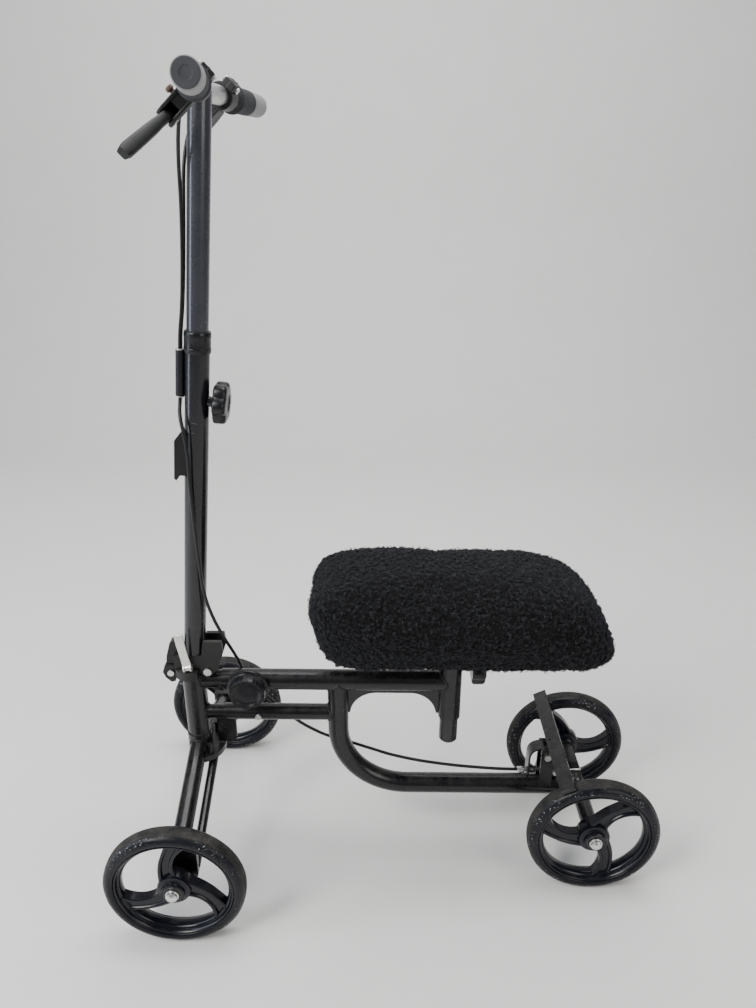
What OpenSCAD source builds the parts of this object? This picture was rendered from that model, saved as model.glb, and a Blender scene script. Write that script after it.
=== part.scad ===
// Steerable knee scooter, at rest with the wheels straight ahead.
// Millimetres. +Z is up, the scooter faces -X and the rider's left is -Y.
// The origin is on the floor, midway between the axles, on the centre plane.

/* [Wheels] */
// Diameter of all four wheels
wheel_d = 200; // [190:1:205]
// Width of the tyre tread
tyre_w = 30; // [28:1:32]
// Distance between the front and rear axles
wheelbase = 610; // [605:1:620]
// Distance between the centres of the two front wheels
front_track = 402; // [396:1:410]
// Distance between the centres of the two rear wheels
rear_track = 208; // [204:1:214]

/* [Frame] */
// Height of the upper beam's axis
beam_z = 303; // [302:1:304]
// Height of the lower front rail's axis
lower_rail_z = 242; // [240:1:244]
// Outside diameter of the upper beam
beam_d = 32; // [31:0.5:33]
// Outside diameter of the lower front rail
lower_rail_d = 25.4; // [25:0.1:26]
// Outside diameter of the head tube
head_tube_d = 35; // [34:0.5:36]
// Centreline radius of the bend in the down tube
bend_r = 110; // [105:1:115]
// Distance from the middle of the scooter to the seat post
seat_post_x = 89; // [86:1:92]

/* [Column] */
// Lean of the steering column towards the seat
column_tilt = 5.4; // [4.8:0.1:6]
// Length of the lower column tube
column_tube_len = 478; // [470:1:486]
// Distance up the column from its base to the handlebar
bar_reach = 812; // [800:1:824]
// Distance from the centre of the handlebar to each end
bar_half = 212; // [205:1:220]
// Backward sweep of each half of the handlebar
bar_sweep = 9; // [6:0.5:11]
// Angle by which the brake levers hang below the bar
lever_drop = 49; // [47:1:51]

/* [Seat] */
// Length of the knee cushion
cushion_l = 452; // [430:1:456]
// Width of the knee cushion
cushion_w = 190; // [176:1:200]
// Height of the top of the cushion above the floor
cushion_top = 497; // [490:1:510]
// Radius of the cushion's rounded edges
cushion_r = 45; // [38:1:48]

/* [Cables] */
// Outside diameter of the brake cable housing
cable_d = 5; // [4.5:0.1:5]

/* [Hidden] */
$fn = 48;

wheel_r = wheel_d / 2;
axle_x = wheelbase / 2;
play = 0.05;            // radial clearance of a running fit
gap = 0.3;              // space between faces of bodies that only pass each other

// Wheel
tread_t = 16;           // thickness of the tyre from rim to tread
rim_t = 7;              // thickness of the rim ring
rim_w = 24;
hub_r = 17;
hub_len = 36;
spoke_r = 62;           // radius of each curved spoke's centreline
spoke_w = 21;
spoke_t = 15;
axle_d = 10;
bearing_d = 26;
bearing_w = 8;

// Frame
head_low = 208;         // lower end of the head tube
head_top = 314;
flange_t = 2;
steerer_d = 25.4;
upper_stub_d = beam_d - 4.4;
lower_stub_d = lower_rail_d - 4;
front_joint_x = -axle_x + 43;   // front ends of the beam and the lower rail
down_d = 32;
down_x = 25.5 - bend_r;         // axis of the down tube's upright part
rear_rail_z = wheel_r + 1;
socket_d = 34;
post_d = 28.6;
socket_low = 238;
socket_top = 345;
seat_knob_z = 331;
axle_tube_d = 25;
knob_d = 57;
frame_knob_x = -219.5;
frame_knob_z = beam_z - 2;

// Rear brake
brake_x = 248;          // pivot of the brake arm
brake_z = 168;
brake_plate_y = 11;     // inner faces of the bracket's side plates
wire_y = -6.5;
wire_z = 136;
wire_d = 1.6;
shoe_gap = 3;           // space between the brake bar and the tread at rest
shoe_angle = 62.5;      // direction of the brake bar from the axle, above the forward horizontal

// Steering head
crown_top = 205.7;
crown_reach = 40;        // from the steering axis to the rim of the crown's stop plate
crown_d = 38;
leg_d = 27;
leg_top = [0, 191];     // [y, z] of the leg's axis at the crown
leg_low = [170, 127];   // and at the end plate
end_plate_y = [172, 182];
pin_x = 26;             // fold hinge pin, behind the steering axis
pin_z = 328;
pin_d = 8;
tongue_w = 18;
tongue_r = 48;          // distance of the tongue's front end from the hinge pin
cheek_in = tongue_w / 2 + gap;
cheek_out = 16;
skewer_x = -2;
skewer_z = 338;
skewer_d = 6;
lever_tilt = 9.2;       // forward tilt of the closed latch lever
cam_y = -22.6;
cam_r = 6;

// Column, measured along its own axis from column_base_z on the steering axis
column_base_z = 297;
tube_start = 58;
tube_end = tube_start + column_tube_len;
column_d = 31.8;
column_wall = 1.5;
post_od = 28;
post_start = 390;
column_knob_s = 449;
hook_s = 374;
board_inset_x = 42;      // from the cushion's ends and sides in to the board's edges
board_inset_y = 31;
joiner_s = 484;
joiner_len = 64;
joiner_d = 12;
bar_d = 22.2;
grip_d = 31;
grip_start = 108;
perch_y = 78;           // distance of each brake lever's clamp from the centre

// ---------- plain shapes ----------

module rod_x(d, x0, x1) translate([x0, 0, 0]) rotate([0, 90, 0]) cylinder(d = d, h = x1 - x0);

module rod_y(d, y0, y1) translate([0, y1, 0]) rotate([90, 0, 0]) cylinder(d = d, h = y1 - y0);

module rod_z(d, z0, z1) translate([0, 0, z0]) cylinder(d = d, h = z1 - z0);

module block(x, y, z) translate([x[0], y[0], z[0]]) cube([x[1] - x[0], y[1] - y[0], z[1] - z[0]]);

// A plate in the XZ plane, of outline pts, between two y values
module plate_y(pts, y0, y1) translate([0, y1, 0]) rotate([90, 0, 0])
  linear_extrude(y1 - y0) polygon(pts);

module both_sides() {
  children();
  mirror([0, 1, 0]) children();
}

// A rectangle of w by h with its corners rounded, centred
module round_rect(w, h, r) {
  square([w - 2 * r, h], center = true);
  square([w, h - 2 * r], center = true);
  for (x = [-1, 1], y = [-1, 1]) translate([x * (w / 2 - r), y * (h / 2 - r)]) circle(r = r);
}

module star_knob(d, t, lobes = 6) {
  difference() {
    cylinder(d = d, h = t);
    for (i = [0 : lobes - 1]) rotate(360 / lobes * i)
      translate([d / 2 + 7, 0, -1]) cylinder(d = 20, h = t + 2);
  }
}

// ---------- cable sweep ----------

function unit(v) = v / norm(v);

// Point at u along a smooth curve through p1 and p2
function bend_point(p0, p1, p2, p3, u) =
  0.5 * (2 * p1 + (p2 - p0) * u + (2 * p0 - 5 * p1 + 4 * p2 - p3) * u * u
    + (3 * p1 - p0 - 3 * p2 + p3) * u * u * u);

function smooth(pts, steps) = let (n = len(pts) - 1) concat(
  [for (i = [0 : n - 1]) for (k = [0 : steps - 1])
    bend_point(i == 0 ? 2 * pts[0] - pts[1] : pts[i - 1], pts[i], pts[i + 1],
      i == n - 1 ? 2 * pts[n] - pts[n - 1] : pts[i + 2], k / steps)],
  [pts[n]]);

function tangents(p) = let (n = len(p) - 1)
  [for (i = [0 : n]) unit(p[min(i + 1, n)] - p[max(i - 1, 0)])];

function square_to(v, t) = unit(v - (v * t) * t);

function normals(t) = let (start = abs(t[0][1]) < 0.9 ? [0, 1, 0] : [1, 0, 0])
  [for (i = 0, n = square_to(start, t[0]); i < len(t);
    i = i + 1, n = i < len(t) ? square_to(n, t[i]) : n) n];

// A round tube of diameter d along the curve through pts
module sweep(pts, d, steps = 3, sides = 8) {
  p = smooth(pts, steps);
  t = tangents(p);
  a = normals(t);
  n = len(p);
  verts = [for (i = [0 : n - 1]) for (k = [0 : sides - 1])
    p[i] + d / 2 * (cos(360 * k / sides) * a[i] + sin(360 * k / sides) * cross(t[i], a[i]))];
  walls = [for (i = [0 : n - 2]) for (k = [0 : sides - 1]) let (j = (k + 1) % sides)
    [i * sides + k, (i + 1) * sides + k, (i + 1) * sides + j, i * sides + j]];
  caps = [[for (k = [0 : sides - 1]) k], [for (k = [sides - 1 : -1 : 0]) (n - 1) * sides + k]];
  polyhedron(verts, concat(walls, caps));
}

// ---------- places ----------

module at_steer() translate([-axle_x, 0, 0]) children();

module at_column() at_steer() translate([0, 0, column_base_z]) rotate([0, column_tilt, 0]) children();

module at_bar() at_column() translate([0, 0, bar_reach]) children();

// The left half of the bar runs along -Y here; sign is 1 for left and -1 for right
module bar_side(sign) at_bar() mirror([0, sign < 0 ? 1 : 0, 0]) rotate(bar_sweep) children();

// As bar_side, with -X pointing from the bar towards the lever
module lever_side(sign) bar_side(sign) rotate([0, -lever_drop, 0]) children();

module rear_wheel_place(sign) translate([axle_x, -sign * rear_track / 2, wheel_r])
  rotate(sign > 0 ? 0 : 180) children();

module front_wheel_place(sign) translate([-axle_x, -sign * front_track / 2, wheel_r])
  rotate(sign > 0 ? 0 : 180) children();

// ---------- wheels ----------

// Tyre with rounded shoulders, its axis along Y
module tyre() color("#26262a") rotate([90, 0, 0]) rotate_extrude($fn = 96) {
  translate([wheel_r - tread_t, -tyre_w / 2]) square([tread_t - 5, tyre_w]);
  translate([wheel_r - 6, -tyre_w / 2 + 5]) square([6, tyre_w - 10]);
  for (s = [-1, 1]) translate([wheel_r - 5, s * (tyre_w / 2 - 5)]) circle(r = 5);
}

module spoke() intersection() {
  translate([spoke_r, 0, -spoke_t / 2]) difference() {
    cylinder(r = spoke_r + spoke_w / 2, h = spoke_t, $fn = 96);
    translate([0, 0, -1]) cylinder(r = spoke_r - spoke_w / 2, h = spoke_t + 2, $fn = 96);
  }
  translate([-20, 0, -spoke_t]) cube([120, 120, 2 * spoke_t]);
  cylinder(r = wheel_r - tread_t - rim_t / 2, h = 2 * spoke_t, center = true, $fn = 96);
}

module rim() color("#1c1c20") rotate([90, 0, 0]) {
  difference() {
    union() {
      difference() {
        cylinder(r = wheel_r - tread_t, h = rim_w, center = true, $fn = 96);
        cylinder(r = wheel_r - tread_t - rim_t, h = rim_w + 2, center = true, $fn = 96);
      }
      for (i = [0 : 2]) rotate(50 + 120 * i - 58) spoke();
      cylinder(r = hub_r, h = hub_len, center = true);
      cylinder(r = hub_r + 5, h = hub_len - 12, center = true);
    }
    cylinder(d = bearing_d - 6, h = hub_len + 2, center = true);
    for (s = [-1, 1]) translate([0, 0, s * (hub_len - bearing_w) / 2])
      cylinder(d = bearing_d, h = bearing_w + (s < 0 ? 0.001 : 0), center = true);
  }
}

module bearings() color("silver") for (s = [-1, 1])
  translate([0, s * (hub_len - bearing_w) / 2, 0]) rotate([90, 0, 0]) difference() {
    cylinder(d = bearing_d, h = bearing_w, center = true);
    cylinder(d = axle_d + 2 * play, h = bearing_w + 2, center = true);
  }

// Axle bolt of the wheel at the origin, with its head towards -Y; inner is how far it runs inwards
module axle_bolt(inner) {
  face = -hub_len / 2 - gap;
  rod_y(axle_d, face, inner);
  rod_y(19, face - 1.5, face);
  rod_y(16, face - 5.5, face - 1.5);
  translate([0, face - 5.5, 0]) rotate([90, 0, 0]) intersection() {
    translate([0, 0, -8.5]) sphere(r = 11.7);
    cylinder(d = 16, h = 4);
  }
}

module front_left_tyre() front_wheel_place(1) tyre();
module front_left_rim() front_wheel_place(1) rim();
module front_left_bearings() front_wheel_place(1) bearings();
module front_right_tyre() front_wheel_place(-1) tyre();
module front_right_rim() front_wheel_place(-1) rim();
module front_right_bearings() front_wheel_place(-1) bearings();
module rear_left_tyre() rear_wheel_place(1) tyre();
module rear_left_rim() rear_wheel_place(1) rim();
module rear_left_bearings() rear_wheel_place(1) bearings();
module rear_right_tyre() rear_wheel_place(-1) tyre();
module rear_right_rim() rear_wheel_place(-1) rim();
module rear_right_bearings() rear_wheel_place(-1) bearings();

// ---------- frame ----------

// Head tube with the two stubs that carry the frame rails
module head_tube() color("#2b2b30") difference() {
  union() {
    at_steer() rod_z(head_tube_d, head_low, head_top);
    translate([0, 0, beam_z]) rod_x(upper_stub_d, -axle_x, front_joint_x + 34);
    translate([0, 0, lower_rail_z]) rod_x(lower_stub_d, -axle_x, front_joint_x + 60);
  }
  at_steer() rod_z(head_tube_d - 5, head_low - 1, beam_z + 30);
  translate([0, 0, beam_z]) rod_x(upper_stub_d - 4, -axle_x, front_joint_x + 35);
  translate([0, 0, lower_rail_z]) rod_x(lower_stub_d - 4, -axle_x, front_joint_x + 61);
  at_steer() rod_z(2 * crown_reach, head_top + flange_t - gap, head_top + 10);
}

// Two flanged bushes pressed into the head tube
module headset_bushes() color("#3a3a3e") at_steer() difference() {
  union() {
    rod_z(head_tube_d, head_low - flange_t, head_low);
    rod_z(head_tube_d - 5, head_low, head_low + 14);
    rod_z(head_tube_d, head_top, head_top + flange_t);
    rod_z(head_tube_d - 5, head_top - 14, head_top);
  }
  rod_z(steerer_d + 2 * play, head_low - 5, head_top + 5);
}

module upper_beam() color("#2b2b30") translate([0, 0, beam_z]) difference() {
  rod_x(beam_d, front_joint_x, seat_post_x);
  rod_x(upper_stub_d, front_joint_x - 1, seat_post_x - 1);
  translate([seat_post_x, 0, 0]) rod_z(socket_d, -60, 60);
  translate([frame_knob_x, 0, frame_knob_z - beam_z]) rod_y(8 + 2 * play, -beam_d, 0);
}

module lower_rail() color("#2b2b30") translate([0, 0, lower_rail_z]) difference() {
  rod_x(lower_rail_d, front_joint_x, down_x);
  rod_x(lower_stub_d, front_joint_x - 1, down_x + 1);
  translate([down_x, 0, 0]) rod_z(down_d, -60, 60);
  translate([frame_knob_x + 11.5, 0, 0]) rod_y(5, -30, 0);
}

module down_tube_solid(d) {
  translate([down_x, 0, 0]) rod_z(d, rear_rail_z + bend_r, beam_z);
  translate([down_x + bend_r, 0, rear_rail_z + bend_r]) rotate([90, 0, 0])
    rotate_extrude(angle = 90, start = 180) translate([bend_r, 0]) circle(d = d);
  translate([0, 0, rear_rail_z]) rod_x(d, down_x + bend_r, axle_x);
}

// Bent tube from under the beam down and back to the rear axle
module down_tube() color("#2b2b30") difference() {
  down_tube_solid(down_d);
  down_tube_solid(down_d - 4);
  translate([0, 0, beam_z]) rod_x(beam_d, down_x - 40, down_x + 40);
  translate([axle_x, 0, wheel_r]) rod_y(axle_tube_d, -60, 60);
}

// Arched web between the down tube, the beam and the seat socket
module gusset_plate() color("#2b2b30") difference() {
  block([down_x, seat_post_x], [-2, 2], [243, beam_z]);
  for (x = [-25, 27]) translate([x, 0, 239]) rod_y(82, -5, 5);
  block([-25, 27], [-5, 5], [230, 280]);
  translate([0, 0, beam_z]) rod_x(beam_d, down_x - 10, seat_post_x + 10);
  translate([down_x, 0, 0]) rod_z(down_d, 200, 320);
  translate([seat_post_x, 0, 0]) rod_z(socket_d, 200, 320);
}

module seat_socket() color("#2b2b30") translate([seat_post_x, 0, 0]) difference() {
  union() {
    rod_z(socket_d, socket_low, socket_top);
    translate([0, 0, seat_knob_z]) rod_x(16, 0, 30);
  }
  rod_z(post_d + 2 * play, socket_low - 1, socket_top + 1);
  translate([0, 0, seat_knob_z]) rod_x(8 + 2 * play, 0, 31);
}

module rear_axle_tube() color("#2b2b30") translate([axle_x, 0, wheel_r]) difference() {
  rod_y(axle_tube_d, -rear_track / 2 + 22, rear_track / 2 - 22);
  for (s = [-1, 1]) rotate(s > 0 ? 0 : 180) rod_y(axle_d, 44, rear_track / 2);
  rod_y(axle_tube_d - 5, -43, 43);
}

module rear_axle_bolts() color("silver") for (s = [-1, 1])
  rear_wheel_place(s) axle_bolt(rear_track / 2 - 44);

// Side plates, arched cable stop and pivot holes of the rear brake, welded to the rail's end
module brake_bracket() color("#2b2b30") difference() {
  union() {
    both_sides() block([brake_x - 10, brake_x + 10], [brake_plate_y, brake_plate_y + 4], [rear_rail_z, 178]);
    difference() {
      block([brake_x - 10, brake_x + 10], [-brake_plate_y - 4, brake_plate_y + 4], [178, 181]);
      block([brake_x - 5, brake_x + 11], [-5, 5], [170, 190]);
    }
    translate([brake_x - 10, 0, 162]) rotate([90, 0, 0]) rotate_extrude(angle = 90, start = 90)
      translate([16, -brake_plate_y]) square([3, 2 * brake_plate_y]);
    block([brake_x - 29, brake_x - 26], [-brake_plate_y, brake_plate_y], [rear_rail_z, 162]);
  }
  translate([0, 0, rear_rail_z]) rod_x(down_d, 150, axle_x);
  translate([brake_x, 0, brake_z]) rod_y(6, -40, 40);
  translate([0, wire_y, wire_z]) rod_x(6, brake_x - 40, brake_x - 20);
}

// Plate under the lower rail that limits the steering
module stop_plate() color("#2b2b30") difference() {
  union() {
    block([-axle_x + 29, -axle_x + 59], [-2.5, 2.5], [194, lower_rail_z]);
    block([-axle_x + 29, -axle_x + 49], [-2.5, 2.5], [184, 196]);
    translate([-axle_x + 49, 0, 194]) rod_y(20, -2.5, 2.5);
  }
  translate([0, 0, lower_rail_z]) rod_x(lower_rail_d, -axle_x, 0);
  translate([0, 0, lower_rail_z]) rod_x(lower_stub_d, -axle_x, 0);
}

// Bolt through the lower rail into its stub, and the pivot pin of the rear brake
module frame_bolts() color("silver") {
  translate([frame_knob_x + 11.5, 0, lower_rail_z]) difference() {
    union() {
      rod_y(5, -lower_rail_d / 2 - 1, -lower_stub_d / 2);
      rod_y(9, -lower_rail_d / 2 - 4, -lower_rail_d / 2);
    }
    rod_x(lower_rail_d - 0.01, -10, 10);
  }
  translate([brake_x, 0, brake_z]) {
    rod_y(6, -brake_plate_y - 6, brake_plate_y + 6);
    both_sides() rod_y(11, -brake_plate_y - 8, -brake_plate_y - 4);
  }
}

module cable_adjuster() color("silver") translate([brake_x, wire_y, wire_z]) difference() {
  union() {
    rod_x(6, -34, -22);
    rod_x(9, -45, -34);
    rod_x(10, -31, -29);
  }
  rod_x(wire_d + 0.6, -46, -20);
  rod_x(cable_d + 0.1, -46, -38);
}

// Cable housing along the far side of the frame to the brake
cable_frame_points = [
  [-236.5, 19, 316], [-231.5, 20.5, 300], [-218, 20.5, 279], [-196, 19.5, 253], [-172, 19.5, 228],
  [-148, 19.5, 206], [-126, 20.5, 190], [-103, 21.5, 177], [-64, 20.5, 164], [-30, 17, 154],
  [4, 11, 147], [51, 3, 142.5], [108, -3, 139], [165, -6, 136.5], [190, -6.5, 136], [209.5, -6.5, 136]
];
module cable_frame() color("#1a1a1d") sweep(cable_frame_points, cable_d, 4);

// Round dished knob that clamps the front section in the beam
module frame_knob() color("#202024") translate([frame_knob_x, -beam_d / 2 - gap, frame_knob_z])
  rotate([90, 0, 0]) difference() {
    union() {
      translate([0, 0, 1.5]) cylinder(d = 64, h = 5.5);
      translate([0, 0, 7]) cylinder(d1 = 60, d2 = 52, h = 16);
      cylinder(d = 20, h = 2);
      translate([0, 0, -beam_d / 2 + upper_stub_d / 2]) cylinder(d = 8, h = 4);
    }
    translate([0, 0, 18]) cylinder(d1 = 34, d2 = 42, h = 6);
  }

module seat_knob() color("#202024") translate([seat_post_x, 0, seat_knob_z]) {
  rod_x(8, post_d / 2 + gap, 32);
  translate([30 + gap, 0, 0]) rotate([0, 90, 0]) star_knob(knob_d, 21);
}

// ---------- seat ----------

module seat_post() color("#303036") translate([seat_post_x, 0, 0]) difference() {
  union() {
    rod_z(post_d, 196, 369);
    intersection() {
      translate([0, 0, 205]) sphere(d = post_d + 6);
      rod_z(post_d, 188, 196);
    }
  }
  rod_z(post_d - 4, 196, 370);
}

module seat_bracket() color("#303036") translate([seat_post_x, 0, 0]) {
  difference() {
    rod_z(40, 350, 369);
    rod_z(post_d, 349, 370);
  }
  block([-110, 130], [-42, 42], [369, 372]);
}

module board_block(low) block([cushion_x(-1) + board_inset_x, cushion_x(1) - board_inset_x],
  [-cushion_w / 2 + board_inset_y, cushion_w / 2 - board_inset_y], [low, 384]);

module seat_board() color("#8a6a45") board_block(372);

function cushion_x(side) = 100 + side * cushion_l / 2;

// Padded knee rest in its cover, wrapped over the edges of the board
module knee_cushion() color("#232326") difference() {
  h = cushion_top - 374;
  translate([cushion_x(0), 0, 374 + h / 2]) intersection() {
    linear_extrude(h, center = true) round_rect(cushion_l, cushion_w, cushion_r);
    rotate([90, 0, 0]) linear_extrude(cushion_w, center = true) round_rect(cushion_l, h, cushion_r - 2);
    rotate([90, 0, 90]) linear_extrude(cushion_l, center = true) round_rect(cushion_w, h, cushion_r - 4);
  }
  board_block(360);
}

// ---------- rear brake ----------

// Rocking arm with the cross bar that presses on both rear tyres
module brake_arm() color("#2b2b30") difference() {
  union() {
    plate_y([[brake_x + 2, 196], [brake_x + 12, 192], [brake_x + 8, 168], [brake_x + 24, 146],
      [brake_x + 24, 124], [brake_x + 12, 121], [brake_x + 6, 138], [brake_x - 7, 158],
      [brake_x - 7, 171], [brake_x - 1, 178]], -4, 4);
    translate([brake_x, 0, brake_z]) rod_y(14, -brake_plate_y + gap, brake_plate_y - gap);
    translate([axle_x, 0, wheel_r]) rotate([0, shoe_angle + 180, 0])
      block([wheel_r + shoe_gap, wheel_r + shoe_gap + 5],
        [-rear_track / 2 - 11, rear_track / 2 + 11], [-11, 11]);
  }
  translate([brake_x, 0, brake_z]) rod_y(6 + 2 * play, -20, 20);
  translate([brake_x + 18, 0, 131]) rod_y(6, -20, 20);
}

// Pinch bolt on the arm and the end of the inner wire behind it
module cable_clamp() color("silver") {
  translate([brake_x + 18, 0, 131]) {
    rod_y(6, -5, 6);
    rod_y(12, -9.5, -5);
    rod_y(11, -5, -4);
    rod_y(10, 4, 8);
  }
  translate([0, wire_y, wire_z]) {
    rod_x(wire_d, brake_x + 21, axle_x - 7);
    rod_x(3, axle_x - 12, axle_x);
  }
}

// Inner wire between the adjuster and the pinch bolt, and the return spring around it
module brake_spring() color("#55555a") {
  turns = 7;
  steps = 12;
  translate([0, wire_y, wire_z]) rod_x(wire_d, brake_x - 37, brake_x + 14);
  sweep([for (i = [0 : turns * steps]) [brake_x - 21 + 24 * i / (turns * steps),
    wire_y + 3.4 * cos(360 * i / steps), wire_z + 3.4 * sin(360 * i / steps)]], 1.2, 1, 6);
}

// ---------- steering ----------

module steerer_tube() color("#303036") at_steer() difference() {
  rod_z(steerer_d, 158, 318);
  rod_z(steerer_d - 6, 157, 319);
}

// One leg of the front axle, along +Y from the steering axis
module axle_leg(d) {
  run = leg_low - leg_top;
  translate([0, leg_top[0], leg_top[1]]) rotate([atan2(-run[0], run[1]), 0, 0])
    cylinder(d = d, h = norm(run) + 20);
}

module end_plate() difference() {
  union() {
    block([-16, 28], end_plate_y, [wheel_r, 144]);
    translate([6, 0, wheel_r]) rod_y(44, end_plate_y[0], end_plate_y[1]);
  }
  translate([0, 0, wheel_r]) rod_y(axle_d, 160, 200);
}

// Crown, two spread legs and wheel plates, welded into one axle
module front_axle() color("#2b2b30") at_steer() difference() {
  union() {
    rod_z(crown_d, 158, crown_top);
    intersection() {
      rod_z(2 * crown_reach, 172, 181);
      block([4, 40], [-40, 40], [171, 182]);
    }
    for (s = [-1, 1]) rotate(s * 52) translate([34, 0, 0]) rod_z(7, 181, 200);
    both_sides() {
      intersection() {
        difference() {
          axle_leg(leg_d);
          axle_leg(leg_d - 4);
        }
        block([-40, 40], [crown_d / 2 - 6, end_plate_y[0]], [60, 230]);
      }
      end_plate();
    }
  }
  rod_z(steerer_d, 150, 210);
}

// Thinner tubes that brace the legs from behind
module axle_braces() color("#2b2b30") at_steer() difference() {
  both_sides() intersection() {
    translate([22.5, 0, -22]) axle_leg(14);
    block([0, 60], [9, end_plate_y[0]], [60, 172]);
  }
  both_sides() axle_leg(leg_d);
  rod_z(crown_d, 150, 210);
}

module front_axle_bolts() color("silver") for (s = [-1, 1]) front_wheel_place(s) {
  axle_bolt(front_track / 2 - end_plate_y[0] + 8);
  rod_y(17, front_track / 2 - end_plate_y[0], front_track / 2 - end_plate_y[0] + 7);
}

// Lower half of the folding joint
module fold_base() color("#232327") at_steer() difference() {
  union() {
    difference() {
      rod_z(56, 316 + gap, 330);
      both_sides() block([12, 40], [tongue_w / 2, 40], [310, 340]);
    }
    intersection() {
      block([-30, 36], [-tongue_w / 2, tongue_w / 2], [pin_z - 4, 346]);
      translate([pin_x, 0, pin_z]) rod_y(2 * tongue_r, -20, 20);
    }
    translate([pin_x, 0, pin_z]) rod_y(20, -tongue_w / 2, tongue_w / 2);
    plate_y([[-22, 330], [-40, 334], [-44, 322], [-40, 312], [-32, 304], [-26, 306], [-22, 316.3]], -11, 11);
  }
  block([28, 40], [-20, 20], [336, 350]);
  rod_z(steerer_d, 310, 318);
  translate([pin_x, 0, pin_z]) rod_y(pin_d, -20, 20);
  translate([skewer_x, 0, skewer_z]) rod_y(skewer_d, -20, 20);
}

module hinge_pin() color("silver") at_steer() translate([pin_x, 0, pin_z]) {
  rod_y(pin_d, -cheek_out - 1, cheek_out + 1);
  both_sides() rod_y(12, -cheek_out - 4, -cheek_out - gap);
}

// Clamping skewer with its nut, its eye for the lever, and the front ear's bolt
module latch_skewer() color("silver") at_steer() {
  translate([skewer_x, 0, skewer_z]) difference() {
    union() {
      rod_y(skewer_d, cam_y, cheek_out + 8);
      rod_y(13, cheek_out + gap, cheek_out + 6);
      translate([0, cam_y, 0]) rotate([0, -lever_tilt, 0]) rod_x(10, -3.2, 3.2);
    }
    translate([0, cam_y, 0]) rotate([0, -lever_tilt, 0]) rod_x(4 + 2 * play, -5, 5);
  }
  translate([-31, 0, 322]) rod_y(10, -15, -11);
}

// Flat lever on the skewer's cam
module latch_lever() color("#d8d8d4") at_steer() translate([skewer_x, cam_y, skewer_z])
  rotate([0, -lever_tilt, 0]) {
    for (s = [-1, 1]) translate([s > 0 ? 3.5 : -6.5, 0, 0]) rod_x(2 * cam_r, 0, 3);
    rod_x(4, -5, 5);
    difference() {
      union() {
        block([-6.5, 6.5], [-2.5, 2.5], [5.5, 52]);
        translate([0, 0, 52]) rod_y(13, -2.5, 2.5);
        for (s = [-1, 1]) translate([s > 0 ? 3.5 : -6.5, 0, 0]) block([0, 3], [-2.5, 2.5], [0, 6]);
      }
      translate([0, 0, 52]) rod_y(5, -5, 5);
    }
  }

// ---------- column ----------

// The arc that the skewer takes through the cheeks as the column folds
module skewer_path() {
  out = [skewer_x - pin_x, skewer_z - pin_z];
  translate([pin_x, 0, pin_z]) rotate([90, 0, 0])
    rotate_extrude(angle = 40, start = atan2(out[1], out[0]))
      translate([norm(out) - skewer_d / 2 - 0.4, -30]) square([skewer_d + 0.8, 60]);
}

// Upper half of the folding joint: deck, hinge cheeks and front ear
module fold_head() color("#2e2e33") difference() {
  at_steer() difference() {
    union() {
      block([-24, 24], [-cheek_out, cheek_out], [346 + 2 * gap, 354]);
      both_sides() {
        plate_y([[-24, 332], [14, 332], [17, 326], [35, 326], [40, 328], [51, 361], [49, 379],
          [22, 379], [18, 354], [-24, 354]], cheek_in, cheek_out);
        translate([pin_x, 0, pin_z]) rod_y(19, cheek_in, cheek_out);
      }
      difference() {
        plate_y([[-20, 336], [-38, 336], [-36, 350], [-30, 371], [-23, 377], [-18, 354]], -8, 8);
        translate([pin_x, 0, pin_z]) rod_y(2 * tongue_r + 2 * gap + 0.4, -20, 20);
      }
    }
    translate([pin_x, 0, pin_z]) rod_y(pin_d + 2 * play, -30, 30);
    translate([skewer_x, 0, skewer_z]) rod_y(skewer_d + 0.8, -30, 30);
    skewer_path();
  }
  at_column() rod_z(column_d, tube_start, 120);
}

module column_tube() color("#35353b") at_column() difference() {
  union() {
    rod_z(column_d, tube_start, tube_end);
    translate([0, 0, column_knob_s]) rod_x(14, 0, 23);
  }
  rod_z(column_d - 2 * column_wall, tube_start - 1, tube_end + 1);
  translate([0, 0, column_knob_s]) rod_x(8 + 2 * play, 0, 24);
}

module column_collar() color("#1e1e21") at_column() difference() {
  rod_z(35, tube_end - 23, tube_end + 5);
  rod_z(column_d, tube_end - 24, tube_end);
  rod_z(post_od + 2 * play, tube_end - 1, tube_end + 6);
  at_joiner() rod_z(joiner_d + 2 * play, -joiner_len, joiner_len);
}

// Slotted holder on the front of the column for a basket's hook
module basket_bracket() color("#1e1e21") at_column() difference() {
  plate_y([[0, hook_s - 28], [-19, hook_s - 28], [-24, hook_s - 36], [-27, hook_s - 33],
    [-27, hook_s + 21], [-18, hook_s + 34], [0, hook_s + 34]], -14, 14);
  block([-25, -18], [-11, 11], [hook_s - 24, hook_s + 40]);
  block([-28, -24], [-7, 7], [hook_s - 14, hook_s + 40]);
  rod_z(column_d, hook_s - 50, hook_s + 50);
}

// Cable from the joiner round the left of the column to the fold, in the column's own place
cable_column_points = [
  [-21.9, 0, 452], [-22, -1.5, 444], [-21, -7.5, 434], [-18, -14.5, 424], [-13.5, -19, 410],
  [-10, -20.5, 394], [-7, -20.8, 372], [-5, -20.8, 345], [-2.5, -20.8, 320], [0, -20.8, 295],
  [3, -20.8, 268], [6.5, -20.8, 240], [10.5, -20.3, 208], [15, -19.5, 178], [22, -17.5, 149],
  [32, -13.5, 119.5]
];
module cable_column() color("#1a1a1d") at_column() sweep(cable_column_points, cable_d, 3);

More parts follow.
